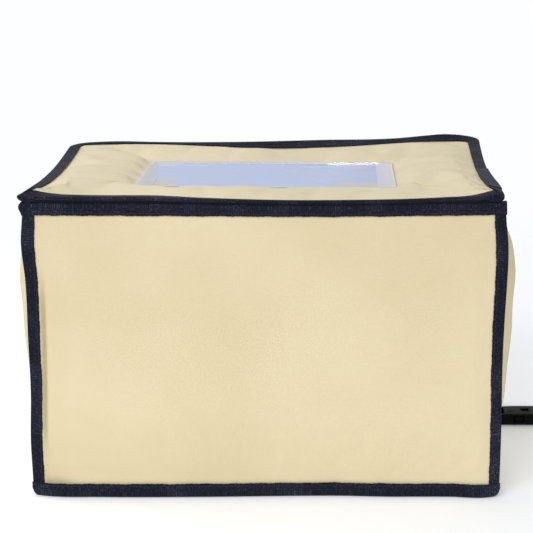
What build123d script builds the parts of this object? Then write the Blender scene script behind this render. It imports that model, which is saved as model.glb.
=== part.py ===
from build123d import *
import os

# Folding fabric box for proofing dough: a padded, zipped box with a window in its lid.
# Millimetres, +Z up. Origin: centre of the footprint, on the surface it stands on.
# Front faces -Y, +X is the right-hand side. The four walls fold inwards behind the front
# panel: each side is split by an upright crease half way back.

# ---- driving dimensions ----
WIDTH = 440.0             # over the bound edges of the front and back panels
DEPTH = 320.0             # front tape face to back tape face
RIM_HEIGHT = 278.0        # top of the bound rim
FLANGE = 11.0             # how far the front and back panels stand out past the sides
TAPE = 0.8                # edge binding tape
TAPE_LEG = 12.0           # leg of the tape along the rim
TAPE_FOOT = 13.0          # leg of the tape along the base
TAPE_INSIDE = 9.5         # leg of the tape under the lid's edge
COVER = 1.0               # outer fabric
BOARD = 4.0               # stiffening board in the walls and base
LINING = 0.8              # inner fabric
BULGE = 33.0              # how far the outer fabric of each side swells out
FRONT_LEAN = 9.5          # how far the front stands out at its foot
SIDE_HEM = 2.0            # flat edge of the swollen fabric at the corners
FOAM_BASE = 2.5           # foam in the base, level with the heating mat
FOAM_LID = 5.0            # foam in the lid
SOFT_GAP = 0.3            # running gap between pieces of different bodies
CORNER_GAP = 0.4          # gap at the upright corners
WALL_FOOT_GAP = 0.3       # gap under the walls that fold

MAT_X = 300.0             # heating mat, left to right
MAT_Y = 220.0             # heating mat, front to back
MAT_FIT = 0.5             # gap around the mat in its foam

COIL_WIDTH = 2.4          # zip coil, through the wall
COIL_HEIGHT = 1.0         # each half of the coil
ZIP_GAP = 1.4             # gap between the two halves of the coil
LID_DROP = 0.8            # tape under the lid, below its lining
LID_REAR_RADIUS = 22.0    # rounded back corners of the lid
LID_FRONT_RADIUS = 4.0    # front corners of the lid
WINDOW_X = 249.0          # welded margin of the window, left to right
WINDOW_Y = 173.0          # welded margin of the window, front to back
WINDOW_WELD = 17.0        # width of that margin
FILM = 0.6                # clear film
FILM_UNDER = 10.0         # film hidden under the margin, each side
WINDOW_SAG = 6.0          # how far the window hangs below the lid's edge
FOAM_SHORT = 25.0         # foam stops this far outside the window
LINING_SHORT = 20.0       # and the lining this far outside it
WINDOW_RADIUS = 4.0       # corners of the window

HINGE_TAPE_END = 20.0     # the fabric hinge stops this far from the edges of the back
HINGE_TAPE_LEG = 15.0     # how far it is sewn down the back
HINGE_TAPE_TOP = 10.0     # how far it stands above the rim

GLAND_INSET = 59.0        # cord gland, from the outer face of the left side
GLAND_Z = 26.0            # and above the surface
GLAND_BORE_R = 4.0
GLAND_BODY_R = 6.5
GLAND_RIM_R = 9.0
GLAND_RIM = 2.0
GLAND_FIT = 0.1           # gap round the gland's body in the wall

SLIDER_LENGTH = 12.0      # zip slider, along the zip
SLIDER_PLATE = 1.2        # its front and back plates
SLIDER_BRIDGE = 0.8       # wedge between the coil halves
SLIDER_HEIGHT = 7.0       # its front plate
SLIDER_REAR_GAP = 3.5     # from the back end of the side wall
BAIL_WIDTH = 4.0          # lug that carries the pull
BAIL_DEPTH = 2.2
PIVOT_DROP = 2.6          # pull's pivot below the top of the front plate
PIN_R = 0.5
PULL_NECK = 2.0           # narrow neck of the pull, below its pin
PULL_WIDTH = 6.0
PULL_LENGTH = 18.0
PULL_THICK = 1.0
PIN_FIT = 0.15

STRAP_Y = 79.0            # middle of the strap
STRAP_WIDTH = 25.0
STRAP_THICK = 1.6
STRAP_TURN_BACK = 12.0    # webbing sewn back on itself beside a bar
STRAP_FREE = 25.9         # webbing between the base's seam and the buckle
SOCKET_LENGTH = 35.0
BUCKLE_WIDTH = 34.0
BUCKLE_THICK = 11.0
BUCKLE_WALL = 2.0
BUCKLE_LIFT = 0.6         # buckle's underside above the lower webbing
BUCKLE_ROUND = 1.5
PLUG_LENGTH = 27.0
BAR_R = 2.0               # bars that the webbing goes round
BAR_SLOT = 4.5            # open slot beside each bar
BAR_FIT = 0.1             # webbing on the socket's bar
RAIL_FIT = 0.5            # webbing between the rails
PRONG_REACH = 22.0        # prongs, inside the socket
PRONG_WIDTH = 4.0
PRONG_THICK = 5.0
PRONG_FIT = 0.6           # prongs inside the socket's side walls
PRONG_ROOT_R = 2.4
PRONG_ROOT_IN = 3.2       # prong's pivot, inside the plug
PRONG_SWING = 0.8         # room for a prong beside its root
PRONG_HEAD_LENGTH = 9.0
CATCH_LENGTH = 12.0       # side windows that the heads stand in
CATCH_REAR = 6.0          # wall between a window and the socket's mouth
GUIDE_WIDTH = 5.0         # middle tongue of the plug
PLUG_FIT = 0.3            # gap between plug and socket
ROOT_FIT = 0.15           # prong's root in the plug

# ---- values worked out from them ----
HALF_X = WIDTH / 2
HALF_Y = DEPTH / 2
SIDE_OUT = HALF_X - FLANGE                    # outer face of a side wall at its seams
SIDE_BOARD = SIDE_OUT - COVER                 # outer face of its board
SIDE_LINING = SIDE_BOARD - BOARD
SIDE_IN = SIDE_LINING - LINING                # inner face
END_OUT = HALF_Y - TAPE                       # outer face of the front and back covers
END_BOARD = END_OUT - COVER
END_LINING = END_BOARD - BOARD
END_IN = END_LINING - LINING
WALL_TOP = RIM_HEIGHT - TAPE                  # walls, under the rim tape
BASE_BOARD_Z = COVER
BASE_FOAM_Z = BASE_BOARD_Z + BOARD
BASE_LINING_Z = BASE_FOAM_Z + FOAM_BASE
BASE_TOP = BASE_LINING_Z + LINING
WALL_FOOT = BASE_TOP + WALL_FOOT_GAP
FLANGE_FOOT = TAPE_FOOT + SOFT_GAP            # standing edges of the front panel clear the base's tape
SIDE_END = END_IN - CORNER_GAP                # back end of the rear half of a side
LEG_BOTTOM = RIM_HEIGHT - TAPE_LEG            # lower edge of the rim tape
PIVOT_X = SIDE_IN - TAPE - SOFT_GAP           # corner pivots
PIVOT_Y = END_IN - TAPE - SOFT_GAP
CREASE_X = SIDE_OUT + TAPE + SOFT_GAP         # crease pivots
COIL_OUT = SIDE_OUT + TAPE                    # coil is flush with the rim tape
COIL_TOP = RIM_HEIGHT + COIL_HEIGHT
LID_COIL_Z = COIL_TOP + ZIP_GAP
BASE_FRONT = -END_OUT - SOFT_GAP - FRONT_LEAN # front edge of the base
LID_LINING_Z = LID_COIL_Z + COIL_HEIGHT
LID_FOAM_Z = LID_LINING_Z + LINING
LID_COVER_Z = LID_FOAM_Z + FOAM_LID
LID_TOP = LID_COVER_Z + COVER
LID_REAR = HALF_Y - SOFT_GAP                  # back edge of the lid
LID_AXIS_Y = HALF_Y + TAPE / 2
LID_AXIS_Z = COIL_TOP + SOFT_GAP
SEAM_X = SIDE_OUT + SOFT_GAP + TAPE           # outer face of the tape along the base's sides
GLAND_X = GLAND_INSET - SIDE_OUT
BUCKLE_START_X = SEAM_X + STRAP_FREE          # buckle's socket
BUCKLE_Z = STRAP_THICK + BUCKLE_LIFT
BUCKLE_MID_Z = BUCKLE_Z + BUCKLE_THICK / 2
SOCKET_END_X = BUCKLE_START_X + SOCKET_LENGTH
PLUG_START_X = SOCKET_END_X + PLUG_FIT
PLUG_END_X = PLUG_START_X + PLUG_LENGTH
PLUG_BAR_X = PLUG_END_X - BAR_R
PRONG_Y = BUCKLE_WIDTH / 2 - BUCKLE_WALL - PRONG_FIT - PRONG_WIDTH / 2   # from the strap's middle


def slab(x0, x1, y0, y1, z0, z1):
    """A box between two corners."""
    return Pos(x0, y0, z0) * Box(x1 - x0, y1 - y0, z1 - z0, align=(Align.MIN,) * 3)


def rod(x, y, z, radius, length, axis):
    """A cylinder centred on a point, along Axis.X, Axis.Y or Axis.Z."""
    turn = {Axis.X: Rot(0, 90, 0), Axis.Y: Rot(90, 0, 0), Axis.Z: Rot(0, 0, 0)}[axis]
    return Pos(x, y, z) * turn * Cylinder(radius, length)


def plate(width, depth, y_middle, radius_front, radius_rear, z0, thick):
    """A flat plate with its own front and back corner radii."""
    body = Pos(0, y_middle, z0) * Box(width, depth, thick, align=(Align.CENTER, Align.CENTER, Align.MIN))
    uprights = body.edges().filter_by(Axis.Z).sort_by(Axis.Y)
    body = fillet(uprights[:2], radius_front)
    uprights = [e for e in body.edges().filter_by(Axis.Z) if e.center().Y > y_middle + depth / 4]
    return fillet([e for e in uprights if abs(abs(e.center().X) - width / 2) < 1e-6], radius_rear)


def lean(z):
    """How far the front stands out at a height."""
    return FRONT_LEAN * max(0.0, LEG_BOTTOM - z) / LEG_BOTTOM


def leaning(x0, x1, front, rear, z0, z1, upright_rear=True):
    """A slab whose front face leans out towards the foot, with its rear face upright or leaning too."""
    rear_low, rear_high = (rear, rear) if upright_rear else (rear - lean(z0), rear - lean(z1))
    outline = Polyline((front - lean(z0), z0), (rear_low, z0), (rear_high, z1), (front - lean(z1), z1),
                       close=True)
    side = Plane(origin=(x0, 0, 0), x_dir=(0, 1, 0), z_dir=(1, 0, 0)) * make_face(outline)
    return extrude(side, amount=x1 - x0, dir=(1, 0, 0))


def save(shape, name):
    """Write one node."""
    shape.label = name
    export_step(shape, f"parts/{name}.step")


# ---- base ----

def base():
    front = BASE_FRONT
    rear = END_IN
    save(slab(-SIDE_OUT, SIDE_OUT, front, rear, 0, BASE_BOARD_Z), "base_cover")
    save(slab(-SIDE_OUT, SIDE_OUT, front, rear, BASE_BOARD_Z, BASE_FOAM_Z), "base_board")
    room_x = MAT_X / 2 + MAT_FIT
    room_y = MAT_Y / 2 + MAT_FIT
    foam = slab(-SIDE_OUT, SIDE_OUT, front, rear, BASE_FOAM_Z, BASE_LINING_Z)
    foam -= slab(-room_x, room_x, -room_y, room_y, BASE_FOAM_Z, BASE_LINING_Z)
    save(foam, "base_foam")
    save(slab(-MAT_X / 2, MAT_X / 2, -MAT_Y / 2, MAT_Y / 2, BASE_FOAM_Z, BASE_LINING_Z), "heating_mat")
    save(slab(-SIDE_OUT, SIDE_OUT, front, rear, BASE_LINING_Z, BASE_TOP), "base_lining")


def base_bindings():
    front = BASE_FRONT
    save(slab(-HALF_X, HALF_X, front - TAPE, front, 0, TAPE_FOOT), "bottom_binding_front")
    seam = SEAM_X - TAPE
    strip = slab(seam, SEAM_X, front, END_IN, 0, TAPE_FOOT)
    strip += slab(SIDE_OUT, seam, front, END_IN, 0, BASE_TOP)
    save(strip, "bottom_binding_right")
    save(mirror(strip, about=Plane.YZ), "bottom_binding_left")


# ---- back wall ----

def gland_hole(y0, y1):
    """Hole through a layer of the back wall for the cord gland."""
    return rod(GLAND_X, (y0 + y1) / 2, GLAND_Z, GLAND_BODY_R + GLAND_FIT, 2 * (y1 - y0), Axis.Y)


def back_wall():
    cover = slab(-HALF_X + TAPE, HALF_X - TAPE, END_BOARD, END_OUT, TAPE, WALL_TOP)
    save(cover - gland_hole(END_BOARD, END_OUT), "back_cover")
    board = slab(-SIDE_BOARD, SIDE_BOARD, END_LINING, END_BOARD, TAPE, WALL_TOP)
    save(board - gland_hole(END_LINING, END_BOARD), "back_board")
    lining = slab(-SIDE_BOARD, SIDE_BOARD, END_IN, END_LINING, TAPE, WALL_TOP)
    save(lining - gland_hole(END_IN, END_LINING), "back_lining")


def back_binding():
    """Tape folded over the four edges of the back panel."""
    tape = slab(-HALF_X, HALF_X, END_OUT, HALF_Y, 0, RIM_HEIGHT)
    tape -= slab(-HALF_X + FLANGE, HALF_X - FLANGE, END_OUT, HALF_Y, TAPE_FOOT, LEG_BOTTOM)
    tape += slab(-HALF_X, HALF_X, END_IN, END_OUT, 0, TAPE)
    tape += slab(-HALF_X, HALF_X, END_IN, END_OUT, WALL_TOP, RIM_HEIGHT)
    tape += slab(-PIVOT_X, PIVOT_X, END_IN - TAPE, END_IN, LEG_BOTTOM, RIM_HEIGHT)
    for side in (-1, 1):
        edge = sorted((side * HALF_X, side * (HALF_X - TAPE)))
        tape += slab(*edge, END_BOARD - TAPE, END_OUT, TAPE, WALL_TOP)
        leg = sorted((side * (HALF_X - TAPE), side * (SEAM_X + SOFT_GAP)))
        tape += slab(*leg, END_BOARD - TAPE, END_BOARD, TAPE, WALL_TOP)
    save(tape, "back_binding")


def hinge_tape():
    """Fabric hinge sewn to the back and standing up behind the lid."""
    low = RIM_HEIGHT - HINGE_TAPE_LEG
    high = RIM_HEIGHT + HINGE_TAPE_TOP
    reach = HALF_X - HINGE_TAPE_END
    save(slab(-reach, reach, HALF_Y, HALF_Y + TAPE, low, high), "hinge_tape")


def cord_gland():
    """Rubber gland for the heating mat's cord, through the back wall."""
    middle = (END_IN + END_OUT) / 2
    wall = END_OUT - END_IN
    gland = rod(GLAND_X, middle, GLAND_Z, GLAND_BODY_R, wall, Axis.Y)
    gland += rod(GLAND_X, END_OUT + GLAND_RIM / 2, GLAND_Z, GLAND_RIM_R, GLAND_RIM, Axis.Y)
    gland += rod(GLAND_X, END_IN - GLAND_RIM / 2, GLAND_Z, GLAND_RIM_R, GLAND_RIM, Axis.Y)
    gland -= rod(GLAND_X, middle, GLAND_Z, GLAND_BORE_R, wall + 4 * GLAND_RIM, Axis.Y)
    save(gland, "cord_gland")


# ---- front wall ----

def front_wall():
    cover = slab(-HALF_X + TAPE, HALF_X - TAPE, -END_OUT, -END_BOARD, LEG_BOTTOM, WALL_TOP)
    cover += leaning(-HALF_X + TAPE, HALF_X - TAPE, -END_OUT, -END_BOARD, FLANGE_FOOT, LEG_BOTTOM)
    cover += leaning(-SIDE_BOARD, SIDE_BOARD, -END_OUT, -END_BOARD, WALL_FOOT, FLANGE_FOOT)
    save(cover, "front_cover")
    save(slab(-SIDE_BOARD, SIDE_BOARD, -END_BOARD, -END_LINING, WALL_FOOT, WALL_TOP), "front_board")
    save(slab(-SIDE_BOARD, SIDE_BOARD, -END_LINING, -END_IN, WALL_FOOT, WALL_TOP), "front_lining")


def front_binding():
    """Tape folded over the upright edges and the rim of the front panel."""
    foot = FLANGE_FOOT
    tape = slab(-HALF_X, HALF_X, -HALF_Y, -END_OUT, LEG_BOTTOM, RIM_HEIGHT)
    tape += slab(-HALF_X, HALF_X, -END_OUT, -END_IN, WALL_TOP, RIM_HEIGHT)
    tape += slab(-PIVOT_X, PIVOT_X, -END_IN, -END_IN + TAPE, LEG_BOTTOM, RIM_HEIGHT)
    for side in (-1, 1):
        face = sorted((side * HALF_X, side * (HALF_X - FLANGE)))
        tape += leaning(*face, -HALF_Y, -END_OUT, foot, LEG_BOTTOM, upright_rear=False)
        edge = sorted((side * HALF_X, side * (HALF_X - TAPE)))
        tape += slab(*edge, -END_OUT, -END_BOARD + TAPE, LEG_BOTTOM, WALL_TOP)
        tape += leaning(*edge, -END_OUT, -END_BOARD + TAPE, foot, LEG_BOTTOM)
        leg = sorted((side * (HALF_X - TAPE), side * (SEAM_X + SOFT_GAP)))
        tape += slab(*leg, -END_BOARD, -END_BOARD + TAPE, foot, WALL_TOP)
    save(tape, "front_binding")
    coil = slab(-COIL_OUT, COIL_OUT, -HALF_Y, -HALF_Y + COIL_WIDTH, RIM_HEIGHT, COIL_TOP)
    save(coil, "front_zip_coil")


# ---- side walls, each in two halves that meet at the crease ----

def swollen_cover():
    """Outer fabric of the right rear half: a flat hem, and a swell that is highest at the crease."""
    y0, y1, y2 = SOFT_GAP, SIDE_END - SIDE_HEM, SIDE_END
    z0, z1 = FLANGE_FOOT, LEG_BOTTOM
    hem = slab(SIDE_BOARD, SIDE_OUT, y0, y2, WALL_FOOT, WALL_TOP)
    hem -= slab(SIDE_BOARD, SIDE_OUT, y0, y1, z0, z1)
    along = (1.0, 1.0, 0.9, 0.0)                  # from the crease to the corner
    up = (0.0, 1.4, 0.4, 2.0, 0.0)                # full towards the rim
    net = [[(SIDE_OUT + BULGE * a * u, y0 + (y1 - y0) * i / 3, z0 + (z1 - z0) * j / 4)
            for j, u in enumerate(up)] for i, a in enumerate(along)]
    swell = extrude(Face.make_bezier_surface(net), amount=COVER, dir=(-1, 0, 0))
    return hem + swell


def rim_binding():
    """Tape folded over the top of the right rear half."""
    tape = slab(SIDE_IN - TAPE, SIDE_OUT + TAPE, SOFT_GAP, SIDE_END, LEG_BOTTOM, RIM_HEIGHT)
    return tape - slab(SIDE_IN, SIDE_OUT, SOFT_GAP, SIDE_END, LEG_BOTTOM, WALL_TOP)


def side_walls():
    pieces = {
        "cover": None,
        "board": slab(SIDE_LINING, SIDE_BOARD, SOFT_GAP, SIDE_END, WALL_FOOT, WALL_TOP),
        "lining": slab(SIDE_IN, SIDE_LINING, SOFT_GAP, SIDE_END, WALL_FOOT, WALL_TOP),
        "rim_binding": rim_binding(),
        "zip_coil": slab(COIL_OUT - COIL_WIDTH, COIL_OUT, SOFT_GAP, SIDE_END, RIM_HEIGHT, COIL_TOP),
    }
    for piece, shape in pieces.items():
        right = shape or swollen_cover()
        left = mirror(right, about=Plane.YZ)
        save(right, f"right_rear_{piece}")
        save(mirror(right, about=Plane.XZ), f"right_front_{piece}")
        save(left, f"left_rear_{piece}")
        save(mirror(left, about=Plane.XZ), f"left_front_{piece}")


# ---- lid ----

def lid_plate(inset, z0, thick):
    """The lid's outline, taken in by inset."""
    depth = HALF_Y + LID_REAR
    middle = (LID_REAR - HALF_Y) / 2
    front_radius = max(LID_FRONT_RADIUS - inset, inset)
    return plate(WIDTH - 2 * inset, depth - 2 * inset, middle, front_radius,
                 LID_REAR_RADIUS - inset, z0, thick)


def window_plate(grow, z0, thick):
    """The window's outline, made larger by grow on each side."""
    radius = max(WINDOW_RADIUS + grow, WINDOW_RADIUS / 2)
    return plate(WINDOW_X + 2 * grow, WINDOW_Y + 2 * grow, 0, radius, radius, z0, thick)


def dish(z):
    """The hollow of the lid's top under a level: from the edge tape down to the window."""
    depth = HALF_Y + LID_REAR
    middle = (LID_REAR - HALF_Y) / 2
    rim = Pos(0, middle, z) * Rectangle(WIDTH - 2 * TAPE_LEG, depth - 2 * TAPE_LEG)
    floor = Pos(0, 0, z - WINDOW_SAG) * Rectangle(WINDOW_X, WINDOW_Y)
    return loft([floor, rim], ruled=True)


def lid():
    window_z = LID_COVER_Z - WINDOW_SAG
    cover = lid_plate(TAPE, LID_COVER_Z, COVER) + dish(LID_COVER_Z)
    cover -= dish(LID_TOP)
    cover -= window_plate(0, window_z, COVER)
    save(cover, "lid_cover")
    foam = lid_plate(TAPE, LID_FOAM_Z, FOAM_LID) - dish(LID_COVER_Z)
    save(foam - window_plate(FOAM_SHORT, LID_FOAM_Z, FOAM_LID), "lid_foam")
    lining = lid_plate(TAPE, LID_LINING_Z, LINING) - window_plate(LINING_SHORT, LID_LINING_Z, LINING)
    save(lining, "lid_lining")
    weld = window_plate(0, window_z, COVER) - window_plate(-WINDOW_WELD, window_z, COVER)
    save(weld, "window_weld")
    save(window_plate(FILM_UNDER - WINDOW_WELD, window_z - FILM, FILM), "window_film")


def lid_binding():
    """Tape folded over the edge of the lid."""
    low = LID_LINING_Z - LID_DROP
    high = LID_TOP + TAPE
    tape = lid_plate(0, low, high - low)
    tape -= lid_plate(TAPE, LID_LINING_Z, LID_TOP - LID_LINING_Z)
    tape -= lid_plate(TAPE_LEG, LID_TOP, TAPE)
    tape -= lid_plate(TAPE_INSIDE, low, LID_DROP)
    tape -= slab(-COIL_OUT, COIL_OUT, -HALF_Y, HALF_Y, low, LID_LINING_Z)
    save(tape, "lid_binding")


def lid_zip_coil():
    """Upper half of the coil, round the front and both sides."""
    out = slab(-COIL_OUT, COIL_OUT, -HALF_Y, SIDE_END, LID_COIL_Z, LID_LINING_Z)
    inner = COIL_OUT - COIL_WIDTH
    out -= slab(-inner, inner, -HALF_Y + COIL_WIDTH, SIDE_END, LID_COIL_Z, LID_LINING_Z)
    save(out, "lid_zip_coil")


# ---- zip slider and its pull ----

SLIDER_Y = SIDE_END - SLIDER_REAR_GAP - SLIDER_LENGTH / 2
SLIDER_FACE = COIL_OUT + SOFT_GAP + SLIDER_PLATE
SLIDER_TOP = COIL_TOP + SOFT_GAP + SLIDER_BRIDGE
PULL_X = SLIDER_FACE + BAIL_DEPTH / 2
PULL_Z = SLIDER_TOP - PIVOT_DROP


def zip_slider():
    """Slider hooked over the lower half of the coil."""
    y0, y1 = SLIDER_Y - SLIDER_LENGTH / 2, SLIDER_Y + SLIDER_LENGTH / 2
    inner = COIL_OUT - COIL_WIDTH - SOFT_GAP
    bridge_z = SLIDER_TOP - SLIDER_BRIDGE
    body = slab(COIL_OUT + SOFT_GAP, SLIDER_FACE, y0, y1, SLIDER_TOP - SLIDER_HEIGHT, SLIDER_TOP)
    body += slab(inner, COIL_OUT + SOFT_GAP, y0, y1, bridge_z, SLIDER_TOP)
    body += slab(inner - SLIDER_PLATE, inner, y0, y1, RIM_HEIGHT + SOFT_GAP, SLIDER_TOP)
    lug = slab(SLIDER_FACE, SLIDER_FACE + BAIL_DEPTH, SLIDER_Y - BAIL_WIDTH / 2, SLIDER_Y + BAIL_WIDTH / 2,
               PULL_Z - BAIL_DEPTH / 2, PULL_Z + BAIL_DEPTH / 2)
    slot = slab(SLIDER_FACE, SLIDER_FACE + BAIL_DEPTH, SLIDER_Y - BAIL_WIDTH / 4, SLIDER_Y + BAIL_WIDTH / 4,
                PULL_Z - BAIL_DEPTH / 2, PULL_Z + BAIL_DEPTH / 2)
    lug -= slot
    lug -= rod(PULL_X, SLIDER_Y, PULL_Z, PIN_R + PIN_FIT, BAIL_WIDTH, Axis.Y)
    save(body + lug, "zip_slider")


def zip_pull():
    """Pull tab: a flat tab with a pin in the slider's lugs."""
    half = BAIL_WIDTH / 4 - PIN_FIT
    tab = slab(PULL_X - PULL_THICK / 2, PULL_X + PULL_THICK / 2, SLIDER_Y - half, SLIDER_Y + half,
               PULL_Z - BAIL_WIDTH, PULL_Z)
    wide = slab(PULL_X - PULL_THICK / 2, PULL_X + PULL_THICK / 2, SLIDER_Y - PULL_WIDTH / 2,
                SLIDER_Y + PULL_WIDTH / 2, PULL_Z - PULL_LENGTH, PULL_Z - PULL_NECK)
    wide = fillet(wide.edges().filter_by(Axis.X).sort_by(Axis.Z)[:2], PULL_WIDTH / 3)
    pin = rod(PULL_X, SLIDER_Y, PULL_Z, PIN_R, BAIL_WIDTH, Axis.Y)
    save(tab + wide + pin, "zip_pull")


# ---- strap and its side-release buckle, lying on the surface at the right ----

def webbing(path):
    """Flat webbing along a path in the upright plane of the strap."""
    section = Plane(origin=path @ 0, x_dir=(0, 1, 0), z_dir=path % 0) * Rectangle(STRAP_WIDTH, STRAP_THICK)
    return sweep(section, path=path, transition=Transition.RIGHT)


def strap_inner():
    """Webbing from the base's right seam, round the socket's bar and sewn back on itself."""
    x = BUCKLE_START_X + BAR_R
    turn = BAR_R + BAR_FIT + STRAP_THICK / 2
    low, high = BUCKLE_MID_Z - turn, BUCKLE_MID_Z + turn
    run = Line((SEAM_X, STRAP_Y, low), (x, STRAP_Y, low))
    bend = ThreePointArc((x, STRAP_Y, low), (x + turn, STRAP_Y, BUCKLE_MID_Z), (x, STRAP_Y, high))
    over = Line((x, STRAP_Y, high), (x - BAR_R, STRAP_Y, high))
    back = Line((x - BAR_R, STRAP_Y, high), (x - STRAP_TURN_BACK, STRAP_Y, low + STRAP_THICK))
    save(webbing(Wire([*run.edges(), *bend.edges(), *over.edges(), *back.edges()])), "strap_inner")


def strap_outer():
    """Webbing from the plug's bar, back under the buckle to the same seam."""
    low = STRAP_THICK / 2
    high = BUCKLE_MID_Z + BAR_R + SOFT_GAP + STRAP_THICK / 2
    turn = (high - low) / 2
    run = Line((SEAM_X, STRAP_Y, low), (PLUG_BAR_X, STRAP_Y, low))
    bend = ThreePointArc((PLUG_BAR_X, STRAP_Y, low), (PLUG_BAR_X + turn, STRAP_Y, low + turn),
                         (PLUG_BAR_X, STRAP_Y, high))
    end_x = PLUG_BAR_X - BAR_R - BAR_SLOT / 2
    back = Line((PLUG_BAR_X, STRAP_Y, high), (end_x, STRAP_Y, high - STRAP_THICK))
    save(webbing(Wire([*run.edges(), *bend.edges(), *back.edges()])), "strap_outer")


def buckle_block(x0, x1):
    """A rounded block across the buckle's full width."""
    y0, y1 = STRAP_Y - BUCKLE_WIDTH / 2, STRAP_Y + BUCKLE_WIDTH / 2
    block = slab(x0, x1, y0, y1, BUCKLE_Z, BUCKLE_Z + BUCKLE_THICK)
    return fillet(block.edges().filter_by(Axis.X), BUCKLE_ROUND)


def bar_slot(x0, x1):
    """The slot that the webbing drops through, with the open space round the bar."""
    half = STRAP_WIDTH / 2 + RAIL_FIT
    return slab(x0, x1, STRAP_Y - half, STRAP_Y + half, BUCKLE_Z, BUCKLE_Z + BUCKLE_THICK)


def buckle_socket():
    x0 = BUCKLE_START_X
    inner_x = x0 + 2 * BAR_R + BAR_SLOT
    half = BUCKLE_WIDTH / 2 - BUCKLE_WALL
    body = buckle_block(x0, SOCKET_END_X)
    body -= bar_slot(x0, inner_x)
    body += rod(x0 + BAR_R, STRAP_Y, BUCKLE_MID_Z, BAR_R, BUCKLE_WIDTH - BUCKLE_WALL, Axis.Y)
    z0, z1 = BUCKLE_Z + BUCKLE_WALL, BUCKLE_Z + BUCKLE_THICK - BUCKLE_WALL
    body -= slab(inner_x + BUCKLE_WALL, SOCKET_END_X, STRAP_Y - half, STRAP_Y + half, z0, z1)
    catch_x = SOCKET_END_X - CATCH_REAR - CATCH_LENGTH
    reach = BUCKLE_WIDTH / 2
    body -= slab(catch_x, catch_x + CATCH_LENGTH, STRAP_Y - reach, STRAP_Y + reach, z0, z1)
    save(body, "buckle_socket")


def buckle_plug():
    x1 = PLUG_END_X
    body = buckle_block(PLUG_START_X, x1)
    body -= bar_slot(x1 - 2 * BAR_R - BAR_SLOT, x1)
    body += rod(PLUG_BAR_X, STRAP_Y, BUCKLE_MID_Z, BAR_R, BUCKLE_WIDTH - BUCKLE_WALL, Axis.Y)
    half_z = PRONG_THICK / 2
    guide_x = SOCKET_END_X - PRONG_REACH + BUCKLE_WALL
    body += slab(guide_x, PLUG_START_X, STRAP_Y - GUIDE_WIDTH / 2, STRAP_Y + GUIDE_WIDTH / 2,
                 BUCKLE_MID_Z - half_z, BUCKLE_MID_Z + half_z)
    root_x = PLUG_START_X + PRONG_ROOT_IN
    room_z = PRONG_THICK + 2 * ROOT_FIT
    room_y = PRONG_WIDTH / 2 + PRONG_SWING
    for side in (-1, 1):
        y = STRAP_Y + side * PRONG_Y
        body -= rod(root_x, y, BUCKLE_MID_Z, PRONG_ROOT_R + ROOT_FIT, room_z, Axis.Z)
        body -= slab(PLUG_START_X, root_x, y - room_y, y + room_y,
                     BUCKLE_MID_Z - room_z / 2, BUCKLE_MID_Z + room_z / 2)
    save(body, "buckle_plug")


def buckle_prongs():
    """Two springy prongs, each with a head that stands in a side window of the socket."""
    half_z = PRONG_THICK / 2
    z0, z1 = BUCKLE_MID_Z - half_z, BUCKLE_MID_Z + half_z
    root_x = PLUG_START_X + PRONG_ROOT_IN
    catch_middle = SOCKET_END_X - CATCH_REAR - CATCH_LENGTH / 2
    arm = slab(SOCKET_END_X - PRONG_REACH, root_x, -PRONG_WIDTH / 2, PRONG_WIDTH / 2, z0, z1)
    arm += rod(root_x, 0, BUCKLE_MID_Z, PRONG_ROOT_R, PRONG_THICK, Axis.Z)
    head_out = BUCKLE_WIDTH / 2 - PRONG_Y
    arm += slab(catch_middle - PRONG_HEAD_LENGTH / 2, catch_middle + PRONG_HEAD_LENGTH / 2,
                0, head_out, z0, z1)
    save(Pos(0, STRAP_Y + PRONG_Y, 0) * arm, "buckle_prong_rear")
    save(Pos(0, STRAP_Y - PRONG_Y, 0) * mirror(arm, about=Plane.XZ), "buckle_prong_front")


def print_pivots():
    """Where the box bends: corners and crease in plan, the lid's hinge from the side."""
    print(f"corner pivots at x +-{PIVOT_X:.1f}, y +-{PIVOT_Y:.1f}")
    print(f"crease pivots at x +-{CREASE_X:.1f}, y 0")
    print(f"lid hinge at y {LID_AXIS_Y:.1f}, z {LID_AXIS_Z:.1f}")
    print(f"pull's pin at x {PULL_X:.1f}, y {SLIDER_Y:.1f}, z {PULL_Z:.1f}")
    prong_x = PLUG_START_X + PRONG_ROOT_IN
    print(f"prong roots at x {prong_x:.1f}, y {STRAP_Y - PRONG_Y:.1f} and {STRAP_Y + PRONG_Y:.1f}")


def main():
    os.makedirs("parts", exist_ok=True)
    print_pivots()
    base()
    base_bindings()
    back_wall()
    back_binding()
    hinge_tape()
    cord_gland()
    front_wall()
    front_binding()
    side_walls()
    lid()
    lid_binding()
    lid_zip_coil()
    zip_slider()
    zip_pull()
    strap_inner()
    strap_outer()
    buckle_socket()
    buckle_plug()
    buckle_prongs()


main()
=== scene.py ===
import math

import bmesh
import bpy
import numpy as np
from bpy.props import FloatProperty, FloatVectorProperty, PointerProperty
from bpy.types import Operator, Panel, PropertyGroup
from mathutils import Matrix, Vector


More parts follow.
